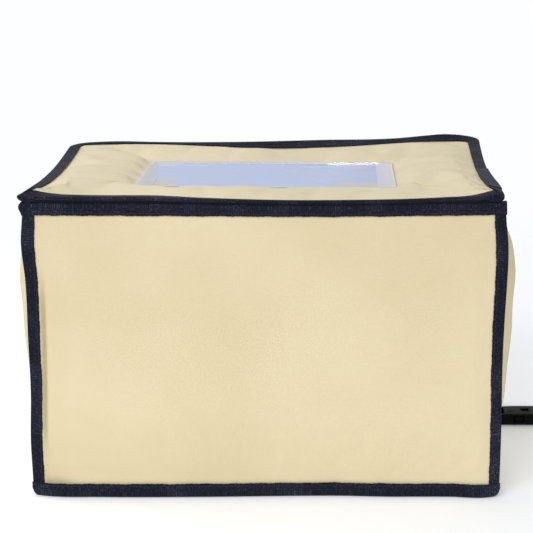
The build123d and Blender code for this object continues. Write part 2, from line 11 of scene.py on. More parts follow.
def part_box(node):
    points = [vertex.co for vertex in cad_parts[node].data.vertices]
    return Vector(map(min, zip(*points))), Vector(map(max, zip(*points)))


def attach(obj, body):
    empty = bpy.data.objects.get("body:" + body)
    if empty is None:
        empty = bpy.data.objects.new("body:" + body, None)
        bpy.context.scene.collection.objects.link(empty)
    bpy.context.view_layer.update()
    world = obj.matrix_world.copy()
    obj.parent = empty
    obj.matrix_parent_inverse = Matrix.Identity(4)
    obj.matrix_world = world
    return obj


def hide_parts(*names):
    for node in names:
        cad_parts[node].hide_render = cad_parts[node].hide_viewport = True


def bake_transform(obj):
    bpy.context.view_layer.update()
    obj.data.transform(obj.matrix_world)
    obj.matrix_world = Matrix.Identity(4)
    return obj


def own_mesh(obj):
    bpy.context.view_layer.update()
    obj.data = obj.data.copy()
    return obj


bl_info = {
    "name": "Folding Dough Proofer",
    "version": (1, 0, 0),
    "blender": (4, 5, 0),
    "location": "3D View > Sidebar > Proofer",
    "description": "Dresses the packed frame of a folding proofing box in canvas, tape, film and webbing",
    "category": "Object",
}

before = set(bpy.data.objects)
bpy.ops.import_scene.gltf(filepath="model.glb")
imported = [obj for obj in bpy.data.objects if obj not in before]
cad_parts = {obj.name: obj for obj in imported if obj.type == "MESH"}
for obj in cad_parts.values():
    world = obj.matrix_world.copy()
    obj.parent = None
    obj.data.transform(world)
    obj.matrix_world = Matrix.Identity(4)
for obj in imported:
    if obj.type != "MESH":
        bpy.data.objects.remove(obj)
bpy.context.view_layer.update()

MM = 0.001                # lengths below are in millimetres unless they say otherwise
TURN = 2 * math.pi


def corners(node):
    """Lowest and highest corner of a node, in millimetres."""
    low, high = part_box(node)
    return np.array(low) / MM, np.array(high) / MM


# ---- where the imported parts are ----
HALF_X = corners("back_binding")[1][0]            # over the bound edges
HALF_Y = -corners("lid_binding")[0][1]
RIM = corners("front_binding")[1][2]              # top of the rim tape
LEG = corners("right_rear_rim_binding")[0][2]     # its lower edge
SIDE_OUT = corners("base_cover")[1][0]            # outer face of a side wall
SIDE_IN = corners("right_rear_lining")[0][0]
HALF_GAP, SIDE_END = corners("right_rear_lining")[0][1], corners("right_rear_lining")[1][1]
END_OUT, END_BOARD = corners("back_cover")[1][1], corners("back_cover")[0][1]
END_IN = corners("back_lining")[0][1]
WALL_FOOT, WALL_TOP = corners("front_cover")[0][2], corners("front_cover")[1][2]
FOOT = corners("bottom_binding_front")[1][2]      # height of the tape along the base
BASE_TOP = corners("base_lining")[1][2]
SEAM_X = corners("bottom_binding_right")[1][0]
COIL_OUT = corners("right_rear_zip_coil")[1][0]
LID_COIL = corners("lid_zip_coil")[0][2]
LID_REAR = corners("lid_binding")[1][1]
WINDOW_X, WINDOW_Y = corners("window_weld")[1][:2]
GLAND = sum(corners("cord_gland")) / 2            # its middle
GLAND_NECK = 6.5                                  # its radius in the wall
FRONT_REACH = SIDE_IN - 1.1                       # the walls' inner tapes stop here, left and right

# ---- how thick each cloth is ----
CANVAS, BASE_CLOTH, LINING, END_LINING = 1.0, 0.8, 0.6, 0.7
TAPE, ZIP_TAPE, HINGE_TAPE, WEBBING = 0.8, 0.4, 0.7, 1.5
FILM, WELD = 0.4, 0.5


# ---- sizes and colours that a user would change ----

class ProoferSizes(PropertyGroup):
    """Sizes of the soft parts."""
    swell_right: FloatProperty(
        name="Right swell", description="How far the right side stands out", default=0.0295, unit="LENGTH")
    swell_left: FloatProperty(
        name="Left swell", description="How far the left side stands out", default=0.0305, unit="LENGTH")
    lid_puff: FloatProperty(
        name="Lid puff", description="Height of the lid's padding between its seams",
        default=0.0035, unit="LENGTH")
    front_puff: FloatProperty(
        name="Front puff", description="How far the front and back panels stand out at their middle",
        default=0.0016, unit="LENGTH")
    thread: FloatProperty(
        name="Thread", description="Distance between threads of the canvas", default=0.0008, unit="LENGTH")
    rib: FloatProperty(
        name="Rib", description="Distance between ribs of the edge tape", default=0.0017, unit="LENGTH")
    stitch: FloatProperty(
        name="Stitch", description="Length of a stitch with its gap", default=0.0034, unit="LENGTH")
    tooth: FloatProperty(
        name="Tooth", description="Distance between turns of the zip coil", default=0.0015, unit="LENGTH")


def colour(name, description, value):
    """One colour setting."""
    return FloatVectorProperty(name=name, description=description, default=value, subtype="COLOR",
                               size=3, min=0, max=1)


class ProoferColours(PropertyGroup):
    """Colours of the cloth, tape, film and plastic."""
    canvas: colour("Canvas", "Walls", (0.80, 0.685, 0.445))
    canvas_shade: colour("Canvas shade", "Hollows of the walls' cloth", (0.735, 0.62, 0.385))
    lid: colour("Lid canvas", "Cloth on the lid", (0.80, 0.695, 0.495))
    lid_shade: colour("Lid canvas shade", "Hollows of the lid's cloth", (0.70, 0.62, 0.425))
    tape: colour("Edge tape", "Folded tape on every edge", (0.003, 0.004, 0.011))
    # Paler crest colour of the edge tape: a painted highlight on its ribs, partly wear.
    tape_crest_highlight_and_wear: colour("Edge tape rib", "Crests of the tape's ribs", (0.055, 0.060, 0.105))
    film: colour("Window film", "Clear film in the lid", (0.54, 0.66, 1.0))
    weld: colour("Window margin", "Milky edge of the window", (0.84, 0.85, 0.94))
    strap: colour("Webbing", "Strap at the right", (0.003, 0.003, 0.005))
    plastic: colour("Buckle", "Moulded buckle", (0.003, 0.003, 0.004))
    lining: colour("Lining", "Coated cloth inside", (0.60, 0.61, 0.63))
    floor: colour("Floor", "Table under the box", (0.93, 0.94, 0.96))


def sizes():
    return bpy.context.scene.proofer_sizes


def colours():
    return bpy.context.scene.proofer_colours


# ---- modelling by hand ----

def only(piece):
    """Make piece the one selected object."""
    bpy.ops.object.select_all(action="DESELECT")
    piece.select_set(True)
    bpy.context.view_layer.objects.active = piece


def placed(name):
    """Name the new primitive and put its place into its mesh."""
    piece = bpy.context.object
    piece.name = piece.data.name = name
    bpy.ops.object.transform_apply(location=True, rotation=True, scale=True)
    return piece


def block(name, x0, x1, y0, y1, z0, z1):
    """A block between two corners."""
    bpy.ops.object.select_all(action="DESELECT")
    low, high = np.array((x0, y0, z0)) * MM, np.array((x1, y1, z1)) * MM
    bpy.ops.mesh.primitive_cube_add(size=1, location=(low + high) / 2)
    bpy.context.object.scale = high - low
    return placed(name)


def rod(name, centre, radius, length, axis, sides=32):
    """A round bar along an axis."""
    turn = {"X": (0, math.pi / 2, 0), "Y": (math.pi / 2, 0, 0), "Z": (0, 0, 0)}[axis]
    bpy.ops.object.select_all(action="DESELECT")
    bpy.ops.mesh.primitive_cylinder_add(vertices=sides, radius=radius * MM, depth=length * MM,
                                        location=np.array(centre) * MM, rotation=turn)
    return placed(name)


class Shaping:
    """Edit mode on one piece, with faces, edges or points taken by their place."""

    def __init__(self, piece, kind="FACE"):
        self.piece = piece
        self.kind = kind

    def __enter__(self):
        only(self.piece)
        bpy.ops.object.mode_set(mode="EDIT")
        bpy.ops.mesh.select_mode(type=self.kind)
        return self

    def __exit__(self, *_):
        bpy.ops.object.mode_set(mode="OBJECT")

    def take(self, test=None):
        """Select what passes test(middle in millimetres, way)."""
        bpy.ops.mesh.select_all(action="SELECT" if test is None else "DESELECT")
        if test is None:
            return
        mesh = bmesh.from_edit_mesh(self.piece.data)
        taken = 0
        for part in {"FACE": mesh.faces, "EDGE": mesh.edges, "VERT": mesh.verts}[self.kind]:
            if self.kind == "EDGE":
                a, b = (v.co for v in part.verts)
                middle, way = (a + b) / 2, (b - a).normalized()
            else:
                middle = part.calc_center_median() if self.kind == "FACE" else part.co
                way = part.normal
            if test(middle / MM, way):
                part.select_set(True)
                taken += 1
        mesh.select_flush_mode()
        bmesh.update_edit_mesh(self.piece.data)
        if not taken:
            raise RuntimeError(f"{self.piece.name}: nothing to shape there")


def bevel(piece, test, width, segments=2):
    """Round the edges that pass the test."""
    with Shaping(piece, "EDGE") as edit:
        edit.take(test)
        bpy.ops.mesh.bevel(offset=width * MM, segments=segments, affect="EDGES", clamp_overlap=True)


def scale_taken(value, centre):
    """Resize what is selected about a centre in millimetres."""
    bpy.ops.transform.resize(value=value, center_override=np.array(centre) * MM)


def modify(piece, kind, **options):
    """Add a modifier, set it and apply it."""
    only(piece)
    added = piece.modifiers.new(kind.lower(), kind)
    for option, value in options.items():
        setattr(added, option, value)
    bpy.ops.object.modifier_apply(modifier=added.name)
    return piece


def cut(piece, *tools):
    """Take the tools out of a piece."""
    for tool in tools:
        modify(piece, "BOOLEAN", object=tool, operation="DIFFERENCE", solver="EXACT")
        bpy.data.objects.remove(tool)
    return piece


def join(name, *parts):
    """Make several parts one piece."""
    only(parts[0])
    for part in parts[1:]:
        part.select_set(True)
    bpy.ops.object.join()
    parts[0].name = parts[0].data.name = name
    return parts[0]


def points(piece):
    """A piece's points in millimetres, one row each."""
    spots = np.empty(len(piece.data.vertices) * 3)
    piece.data.vertices.foreach_get("co", spots)
    return spots.reshape(-1, 3) / MM


def move_points(piece, spots):
    piece.data.vertices.foreach_set("co", (np.asarray(spots) * MM).astype(np.float32).ravel())
    piece.data.update()


def mould(piece, form):
    """Push a piece's points to where form(x, y, z) says."""
    move_points(piece, np.column_stack(form(*points(piece).T)))
    return piece


def weave_map(piece, laid, i, j, flat, folded):
    """Lay the cloth's own measure on it, in metres: along the strip and across it, or flat on two axes.
    On folded tape the measure across starts at both edges."""
    if flat is None:
        net = np.empty((i.max() + 1, j.max() + 1, 3))
        net[i, j] = laid
        run = np.r_[0, np.cumsum(np.linalg.norm(np.diff(net, axis=0), axis=2).mean(axis=1))]
        rise = np.r_[0, np.cumsum(np.linalg.norm(np.diff(net, axis=1), axis=2).mean(axis=0))]
        if folded:
            rise = np.minimum(rise, rise[-1] - rise)
        measure = np.column_stack((run[i], rise[j]))
    else:
        measure = laid[:, flat]
    owner = np.empty(len(piece.data.loops), int)
    piece.data.loops.foreach_get("vertex_index", owner)
    piece.data.uv_layers.active.data.foreach_set(
        "uv", (measure[owner] * MM).astype(np.float32).ravel())


def face_to(piece, out):
    """Turn the right side of the cloth outwards."""
    normals = np.empty(len(piece.data.polygons) * 3)
    piece.data.polygons.foreach_get("normal", normals)
    if (normals.reshape(-1, 3) @ np.array(out, float)).sum() < 0:
        with Shaping(piece) as edit:
            edit.take()
            bpy.ops.mesh.flip_normals()


def thicken(piece, thick, sink):
    """Give cloth its thickness, inwards (sink -1) or to both sides (sink 0)."""
    modify(piece, "SOLIDIFY", thickness=thick * MM, offset=sink)
    with Shaping(piece) as edit:
        edit.take()
        bpy.ops.mesh.normals_make_consistent(inside=False)
    return piece


def strip(name, along, across, place, flat=None, folded=False, closed=False, out=None,
          thick=0.0, sink=-1.0):
    """Cloth laid as a grid of along by across cells, where place(i, j) puts each crossing."""
    bpy.ops.object.select_all(action="DESELECT")
    bpy.ops.mesh.primitive_grid_add(x_subdivisions=along, y_subdivisions=across, size=1)
    piece = placed(name)
    spots = points(piece) * MM
    i = np.rint((spots[:, 0] + 0.5) * along).astype(int)
    j = np.rint((spots[:, 1] + 0.5) * across).astype(int)
    laid = np.column_stack(np.broadcast_arrays(*place(i, j))).astype(float)
    move_points(piece, laid)
    weave_map(piece, laid, i, j, flat, folded)
    if closed:
        with Shaping(piece, "VERT") as edit:
            edit.take()
            bpy.ops.mesh.remove_doubles(threshold=1e-6)
    if out is not None:
        face_to(piece, out)
    return thicken(piece, thick, sink) if thick else piece


def curve_through(*knots):
    """A smooth run through (place, value) pairs, level beyond its ends."""
    at, value = np.array(knots, float).T
    slope = np.gradient(value, at)

    def run(place):
        k = np.clip(np.searchsorted(at, place) - 1, 0, len(at) - 2)
        gap = at[k + 1] - at[k]
        t = np.clip((place - at[k]) / gap, 0, 1)
        return (value[k] * (1 + 2 * t) * (1 - t) ** 2 + gap * slope[k] * t * (1 - t) ** 2
                + value[k + 1] * t * t * (3 - 2 * t) + gap * slope[k + 1] * t * t * (t - 1))
    return run


def ripple(s, t, height, length):
    """Soft unevenness from a few crossed waves."""
    waves = ((1.0, 0.37, 0.3), (-0.53, 1.1, 1.9), (1.7, -0.8, 4.1), (0.4, 1.9, 2.6))
    return height / 2.2 * sum(np.sin((a * s + b * t) * TURN / length + c) for a, b, c in waves)


def blendover(x, low, high):
    """0 below low, 1 above high, smooth between."""
    t = np.clip((x - low) / (high - low), 0, 1)
    return t * t * (3 - 2 * t)


def bent(*turns, step=1.3):
    """The section of folded tape: straight legs with soft turns."""
    turns = np.array(turns, float)
    legs = [turns[:1]]
    for a, b in zip(turns, turns[1:]):
        cells = max(1, round(np.linalg.norm(b - a) / step))
        legs.append(a + (b - a) * np.linspace(0, 1, cells + 1)[1:, None])
    line = np.concatenate(legs)
    line[1:-1] = (line[:-2] + 2 * line[1:-1] + line[2:]) / 4
    return line


def tape(name, section, start, end, axis, form=None, step=2.2, waver=0.25, thick=TAPE):
    """Folded tape with one section, laid from start to end along an axis, with uneven edges."""
    cells = max(2, round(abs(end - start) / step))
    section = np.array(section)
    edges = {0: section[0] - section[1], len(section) - 1: section[-1] - section[-2]}

    def place(i, j):
        s = start + (end - start) * i / cells
        a, b = section[j].T
        for row, way in edges.items():
            push = (j == row) * (ripple(s, row + start, waver, 23) + waver * 0.6 * np.sin(s * TURN / 4.6))
            push = push / max(np.linalg.norm(way), 0.1)
            a, b = a + push * way[0], b + push * way[1]
        spots = {"x": (s, a, b), "y": (a, s, b), "z": (a, b, s)}[axis]
        return form(*spots) if form else spots
    return strip(name, cells, len(section) - 1, place, folded=True, thick=thick, sink=0)


def relax(piece, held, pressure, spare, reach):
    """Let cloth that is a little too large swell and crease, held along its seams, no further than reach."""
    frames = 20
    start = points(piece)
    seams = piece.vertex_groups.new(name="seams")
    for k in np.flatnonzero(held > 0):
        seams.add([int(k)], float(held[k]), "REPLACE")
    only(piece)
    cloth = piece.modifiers.new("cloth", "CLOTH")
    made = cloth.settings
    made.quality = 6
    made.mass = 0.15
    made.tension_stiffness = made.compression_stiffness = 20
    made.shear_stiffness = 8
    made.bending_stiffness = 0.4
    made.use_pressure = True
    made.uniform_pressure_force = pressure
    made.shrink_min = -spare
    made.vertex_group_mass = seams.name
    made.effector_weights.gravity = 0
    cloth.point_cache.frame_end = frames
    for step in range(1, frames + 1):
        bpy.context.scene.frame_set(step)
    bpy.ops.object.modifier_apply(modifier=cloth.name)
    bpy.context.scene.frame_set(1)
    piece.vertex_groups.clear()
    moved = points(piece) - start
    far = np.linalg.norm(moved, axis=1, keepdims=True)
    move_points(piece, start + moved * np.minimum(1, reach / np.maximum(far, 1e-9)))
    return piece


def dress(piece, finish, body=None, nodes=(), smooth=40):
    """Give a piece its finish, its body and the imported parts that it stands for."""
    piece.data.materials.clear()
    piece.data.materials.append(FINISHES[finish])
    only(piece)
    bpy.ops.object.shade_smooth_by_angle(angle=math.radians(smooth))
    if body:
        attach(piece, body)
    if nodes:
        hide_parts(*nodes)
    return piece


# ---- finishes ----

FINISHES = {}


class Value:
    """A number on a surface, which takes ordinary arithmetic."""

    def __init__(self, finish, socket):
        self.finish = finish
        self.socket = socket

    def sum(self, operation, *terms):
        return self.finish.node("ShaderNodeMath", terms, operation=operation)

    def __add__(self, other):
        return self.sum("ADD", self, other)

    def __sub__(self, other):
        return self.sum("SUBTRACT", self, other)

    def __rsub__(self, other):
        return self.sum("SUBTRACT", other, self)

    def __mul__(self, other):
        return self.sum("MULTIPLY", self, other)

    def __truediv__(self, other):
        return self.sum("DIVIDE", self, other)

    def __pow__(self, other):
        return self.sum("POWER", self, other)

    def __lt__(self, other):
        return self.sum("LESS_THAN", self, other)

    __radd__ = __add__
    __rmul__ = __mul__

    def sine(self):
        return self.sum("SINE", self)

    def size(self):
        return self.sum("ABSOLUTE", self)

    def part(self):
        return self.sum("FRACT", self)

    def ease(self, low, high):
        """0 at low and 1 at high, smooth between."""
        return self.finish.node("ShaderNodeMapRange", {0: self, 1: low, 2: high},
                                interpolation_type="SMOOTHSTEP")


class Finish:
    """One material while it is made."""

    def __init__(self, name):
        self.material = bpy.data.materials.new(name)
        self.material.use_nodes = True
        self.tree = self.material.node_tree
        self.shader = self.tree.nodes["Principled BSDF"]
        FINISHES[name] = self.material

    def put(self, socket, value):
        """Link or set one socket."""
        if isinstance(value, Value):
            self.tree.links.new(value.socket, socket)
        elif socket.type == "RGBA":
            socket.default_value = (*tuple(value)[:3], 1)
        else:
            socket.default_value = value

    def node(self, kind, inputs=(), out=0, **settings):
        """Any node: its settings first, then its sockets by number or name."""
        made = self.tree.nodes.new(kind)
        for setting, value in settings.items():
            setattr(made, setting, value)
        for key, value in (inputs.items() if isinstance(inputs, dict) else enumerate(inputs)):
            self.put(made.inputs[key], value)
        return Value(self, made.outputs[out])

    def measure(self):
        """The cloth's own measure, along and across, in metres."""
        own = self.node("ShaderNodeTexCoord", out=2)
        return [self.node("ShaderNodeSeparateXYZ", (own,), out=k) for k in (0, 1)]

    def place(self):
        """The place on the object."""
        return self.node("ShaderNodeTexCoord", out=3)

    def noise(self, scale, detail=2.0, vector=None, rough=0.5):
        return self.node("ShaderNodeTexNoise", {"Vector": vector or self.place(), "Scale": scale,
                                                "Detail": detail, "Roughness": rough})

    def joined(self, x, y):
        return self.node("ShaderNodeCombineXYZ", (x, y, 0.0))

    def mix(self, share, a, b):
        """Two colours, one over the other."""
        return self.node("ShaderNodeMix", {0: share, 6: a, 7: b}, out=2, data_type="RGBA", blend_type="MIX")

    def relief(self, height, depth):
        """Surface relief that is depth metres deep."""
        return self.node("ShaderNodeBump", {"Strength": 1.0, "Distance": depth, "Height": height})

    def finish(self, **sockets):
        """Set the shader's sockets. Two words are joined by _."""
        for name, value in sockets.items():
            self.put(self.shader.inputs[name.replace("_", " ")], value)
        return self.material


def make_canvas(name, light, shade, painted_groove_shade=False):
    """Closely woven canvas: crossed threads, slubs and soft mottling, and where asked a painted shade strip
    in the groove beside the left front tape.
    """
    f = Finish(name)
    u, v = f.measure()
    thread = TURN / 2 / sizes().thread
    weave = (u * thread).sine() * (v * thread).sine()
    slub = f.noise(1.0, 2, f.joined(u * 40, v * 900)) + f.noise(1.0, 2, f.joined(u * 900, v * 40))
    soft = f.noise(7.0, 3).ease(0.3, 0.7)
    cloth = f.mix(soft, shade, light)
    cloth = f.mix((slub - 1.0).size().ease(0.0, 0.45) * 0.35, cloth, shade)
    cloth = f.mix(weave.ease(-1.0, 1.0) * 0.10, cloth, (0.93, 0.86, 0.66))
    if painted_groove_shade:
        # Painted shade: a dark strip in the cloth's colour where the cloth dips into the groove beside the
        # left front tape.
        wander = (v * 31).sine() * 0.0006
        groove_shade = (u + 0.2042 + wander).size().ease(0.0036, 0.0008) * v.ease(0.225, 0.170) * v.ease(0.030, 0.075)
        cloth = f.mix(groove_shade * 0.5, cloth, (0.27, 0.22, 0.12))
    f.finish(Base_Color=cloth, Roughness=0.86 + weave * 0.05, Sheen_Weight=0.06, Specular_IOR_Level=0.2,
             Normal=f.relief(weave * 0.5 + slub * 0.5 + f.noise(60.0, 3) * 0.5, 0.00018))


def make_tape(name, base, crest):
    """Ribbed edge tape with a sewn line near each edge, painted highlights on its rib crests and specks, and
    painted shade along its edges.
    """
    sewn_at = 0.0021
    f = Finish(name)
    u, v = f.measure()
    rib = (u * (TURN / sizes().rib)).sine()
    fine = f.noise(1.0, 2, f.joined(u * 300, v * 1500))
    worn = f.noise(26.0, 3).ease(0.42, 0.75)
    seam = ((v - sewn_at).size() < 0.00035) * ((u / sizes().stitch).part() < 0.76)
    # Rib crests and fine specks take the paler crest colour, more in worn patches: a painted highlight,
    # partly wear.
    share = rib.ease(-0.3, 1.0) * (0.10 + worn * 0.45) + fine.ease(0.42, 0.75) * (0.15 + worn * 0.3)
    cloth = f.mix(share, base, crest)
    # Painted highlight: pale specks where the ribs would catch the light.
    speckle_highlight = f.noise(1.0, 1, f.joined(u * 720, v * 420)).ease(0.50, 0.80) * (0.4 + worn * 0.6)
    cloth = f.mix(speckle_highlight * 0.5, cloth, (0.16, 0.17, 0.22))
    cloth = f.mix(seam * 0.8, cloth, (0.030, 0.034, 0.062))
    # Painted shade: the tape darker along both edges, where it meets the cloth.
    edge = v.ease(0.0009, 0.0)
    cloth = f.mix(edge * 0.5, cloth, (0.006, 0.007, 0.014))
    dent = (v - sewn_at).size().ease(0.0014, 0.0)
    f.finish(Base_Color=cloth, Roughness=0.72 + fine * 0.15, Sheen_Weight=0.04, Specular_IOR_Level=0.12,
             Normal=f.relief(rib * 0.35 + seam * 1.1 - dent * 1.2 + fine * 0.5, 0.00028))


def make_lining():
    """Coated lining: smooth cloth with a fine crosswise grain and a few soft scuffs."""
    f = Finish("lining")
    u, v = f.measure()
    grain = (u * 2600).sine() * (v * 2600).sine()
    scuff = f.noise(14.0, 4).ease(0.35, 0.8)
    cloth = f.mix(scuff * 0.5, colours().lining, (0.46, 0.47, 0.50))
    f.finish(Base_Color=cloth, Roughness=0.42 + scuff * 0.2, Sheen_Weight=0.05,
             Normal=f.relief(grain * 0.4 + f.noise(35.0, 3) * 1.4, 0.0002))


def make_film():
    """Clear flexible film with soft waves, a painted reflection of the cream cloth in its front corners, and
    painted shade towards its right.
    """
    f = Finish("film")
    x, y = f.measure()
    wave = f.noise(9.0, 2)
    patch = x.ease(-0.02, 0.02) * x.ease(0.105, 0.06)
    crumple = f.noise(1.0, 2, f.joined(x * 95, y * 40)) * patch
    haze = f.noise(5.0, 2).ease(0.35, 0.7)
    # Painted reflection: tan patches of the cream cloth in the film's front corners, with jagged borders.
    reflection_jag = f.noise(1.0, 3, f.joined(x * 60, y * 25)) - 0.5
    painted_cloth_reflection = (x + reflection_jag * 0.05).ease(0.060, 0.078) * (y + reflection_jag * 0.04).ease(-0.040, -0.047)
    painted_cloth_reflection = painted_cloth_reflection + (x + reflection_jag * 0.03).ease(-0.084, -0.094) * (y + reflection_jag * 0.04).ease(-0.032, -0.042)
    glance = f.node("ShaderNodeLayerWeight", {"Blend": 0.5}, out=1)
    cloud = f.mix(haze * 0.3, colours().film, (0.70, 0.76, 0.97))
    # Painted shade: the film darker towards its right side.
    cloud = f.mix(x.ease(0.055, 0.112) * 0.45, cloud, (0.36, 0.42, 0.78))
    f.finish(Base_Color=f.mix(painted_cloth_reflection * 0.65, cloud, (0.72, 0.66, 0.47)), Roughness=0.06 + haze * 0.05,
             Alpha=0.42 + glance * 0.6, Coat_Weight=0.2, Specular_IOR_Level=0.25,
             Normal=f.relief(wave * 0.6 + crumple, 0.0005))


def make_weld():
    """Milky welded margin, clearer in its middle, with the fine press of the welding bar in it."""
    f = Finish("weld")
    u, v = f.measure()
    press = (u * 2400).sine() * (v * 2400).sine()
    cloud = f.noise(30.0, 3).ease(0.3, 0.75)
    rear = f.node("ShaderNodeSeparateXYZ", (f.place(),), out=1).ease(0.072, 0.082)
    edge = (v - 0.0085).size().ease(0.0066, 0.0084)
    milk = f.mix(cloud * 0.4, colours().weld, (0.70, 0.71, 0.78))
    f.finish(Base_Color=f.mix(edge * 0.3, milk, (0.94, 0.95, 0.98)), Roughness=0.3 + cloud * 0.15,
             Alpha=0.52 + edge * 0.2 + cloud * 0.1 - rear * 0.3, Coat_Weight=0.3, Specular_IOR_Level=0.3,
             Normal=f.relief(press * 0.2 + cloud * 2.0, 0.0003))


def make_webbing():
    """Strap webbing: herringbone rows with a raised selvage."""
    f = Finish("webbing")
    u, v = f.measure()
    lean = (v * 260).part() - 0.5
    row = ((u * 700 + lean.size() * 2.6) * TURN / 2).sine()
    edge = (v - 0.0125).size().ease(0.0108, 0.0118)
    fine = f.noise(1.0, 2, f.joined(u * 800, v * 800))
    cloth = f.mix(row.ease(-0.4, 1.0) * 0.5 + fine * 0.3, colours().strap, (0.014, 0.014, 0.018))
    f.finish(Base_Color=f.mix(edge * 0.4, cloth, (0.012, 0.012, 0.016)), Roughness=0.7 + fine * 0.2,
             Specular_IOR_Level=0.06, Normal=f.relief(row * (1 - edge) + fine * 0.4 + edge * 0.8, 0.0003))


def make_plain(name, base, worn, roughness, grain=180.0, **constants):
    """Moulded, enamelled or press-formed material with a fine grain and paler wear."""
    f = Finish(name)
    grit = f.noise(grain * 8, 3, rough=0.6)
    wear = f.noise(grain / 4, 4).ease(0.55, 0.8)
    f.finish(Base_Color=f.mix(wear * 0.6, base, worn), Roughness=roughness + grit * 0.12 - wear * 0.08,
             Normal=f.relief(grit, 0.00004), **constants)


def make_mat():
    """Laminated heating mat: dark film with the heater's paler rows showing through."""
    row_pitch = 0.022
    f = Finish("heating_mat")
    x = f.node("ShaderNodeSeparateXYZ", (f.place(),), out=0)
    row = (x * (TURN / row_pitch)).sine().ease(0.55, 0.75)
    haze = f.noise(20.0, 3)
    f.finish(Base_Color=f.mix(row * 0.5 + haze * 0.1, (0.035, 0.035, 0.040), (0.12, 0.10, 0.08)),
             Roughness=0.35 + haze * 0.2, Normal=f.relief(row + haze * 0.2, 0.0002))


# ---- how the soft front has settled ----

rim_dip = curve_through((-220, 0), (-150, 1.0), (-60, 1.9), (20, 3.3), (90, 3.6), (160, 2.3), (205, 1.6),
                        (220, 0.6))
leg_dip = curve_through((-220, -0.4), (-60, 0.9), (50, 1.8), (160, 1.2), (220, 0.6))
foot_push = curve_through((-220, 5), (-205, 9.5), (-150, 12), (-60, 10.8), (34, 6.8), (71, 6.0), (110, 8.3),
                          (175, 8.3), (206, 10.5), (220, 5))
left_flare = curve_through((0, 1.6), (13, 1.5), (50, 0.5), (100, 2.0), (150, 1.2), (205, 0.4), (243, -2.6),
                           (262, -1.0), (267, -0.7), (273, -3.0), (276, -2.6), (279.5, 0.6))
right_flare = curve_through((0, -0.8), (50, 0.4), (91, 0.7), (130, 1.0), (168, 2.3), (205, 4.3), (224, 5.0),
                            (242, 4.6), (261, 2.7), (279, 2.2))


def front_form(x, y, z):
    """The front leans out at its foot, its rim hangs a little, and its upright edges waver."""
    share = np.clip(x / HALF_X, -1.05, 1.05)
    flare = np.where(x < 0, left_flare(z), right_flare(z)) * np.abs(share) ** 5
    lean = foot_push(x) * np.clip(1 - z / LEG, 0, 1)
    drop = leg_dip(x) * blendover(z, 190, LEG) + (rim_dip(x) - leg_dip(x)) * np.clip((z - LEG) / 12, 0, 1)
    return x + flare, y - lean, z - drop


def side_form(x, y, z, reach):
    """Stretch a side's ends as far as the end panels, which stand out at the foot of the front."""
    front = foot_push(x) * np.clip(1 - z / LEG, 0, 1)
    stretch = reach - SIDE_END + front * (y < 0)
    return x, y + np.sign(y) * stretch * blendover(np.abs(y), SIDE_END - 22, SIDE_END), z


def gather(a, b, low_a, high_a, low_b, high_b, height=0.35):
    """Small puckers where cloth is sewn along the four edges of a panel."""
    near_a = np.exp(-np.minimum(a - low_a, high_a - a) / 9)
    near_b = np.exp(-np.minimum(b - low_b, high_b - b) / 9)
    return height * (near_b * ripple(a, 3.0, 1, 17) + near_a * ripple(b, 7.0, 1, 15))


def panel(name, x0, x1, z0, z1, y, way, height, thick, form=None, cell=4.5, spare=0.004):
    """An upright panel of cloth, a little proud in its middle, facing front (way -1) or back (way 1)."""
    along, across = round((x1 - x0) / cell), round((z1 - z0) / cell)

    def from_edge(x, z):
        return np.minimum(np.minimum(x - x0, x1 - x), np.minimum(z - z0, z1 - z))

    def place(i, j):
        x = x0 + (x1 - x0) * i / along
        z = z0 + (z1 - z0) * j / across
        crown = (1 - (2 * i / along - 1) ** 4) * (1 - (2 * j / across - 1) ** 4)
        stand = height * crown + gather(x, z, x0, x1, z0, z1) + ripple(x, z, 0.5, 140) * crown
        stand = (stand + 0.25) * blendover(from_edge(x, z), 10, 19) - 0.25
        spots = x, y + way * stand, z
        return form(*spots) if form else spots
    piece = strip(name, along, across, place, flat=[0, 2], out=(0, way, 0))
    if spare:
        x, _, z = points(piece).T
        relax(piece, (from_edge(x, z) < 14).astype(float), 1.5, spare, 1.6)
    return thicken(piece, thick, -1)


def make_front():
    """Front panel: canvas over a board, with its lining."""
    def settled(x, y, z):
        belly = 6.0 * blendover(z, 12, 62) * (1 - blendover(z, 62, 205)) * (1 - (x / HALF_X) ** 2)
        return front_form(x, y - belly, z)

    def tucked(x, y, z):
        inset = x + HALF_X
        tuck = 4.6 * blendover(inset, 14.2, 18.4) * (1 - blendover(inset, 18.4, 50))
        return x, y + tuck * blendover(-z, -225, -185), z
    puff = sizes().front_puff / MM
    cloth = panel("front_panel", -HALF_X + 1, HALF_X - 1, FOOT - 2, WALL_TOP - 0.4, -END_OUT, -1, puff,
                  CANVAS, settled, cell=3.0)
    mould(cloth, tucked)
    dress(cloth, "front_canvas", "front_wall", ["front_cover"])
    board = block("front_board_sheet", -SIDE_OUT + 36, SIDE_OUT - 16, -END_BOARD + 0.3, -END_IN - 1.2,
                  WALL_FOOT, WALL_TOP - 1.2)
    with Shaping(board) as edit:
        edit.take()
        bpy.ops.mesh.subdivide(number_cuts=14)
    dress(mould(board, front_form), "board", "front_wall", ["front_board"])
    inner = panel("front_lining_sheet", -SIDE_OUT + 1, SIDE_OUT - 1, WALL_FOOT, WALL_TOP - 1, -END_IN, 1, 0.0,
                  END_LINING, front_form, cell=9, spare=0)
    dress(inner, "lining", "front_wall", ["front_lining"])


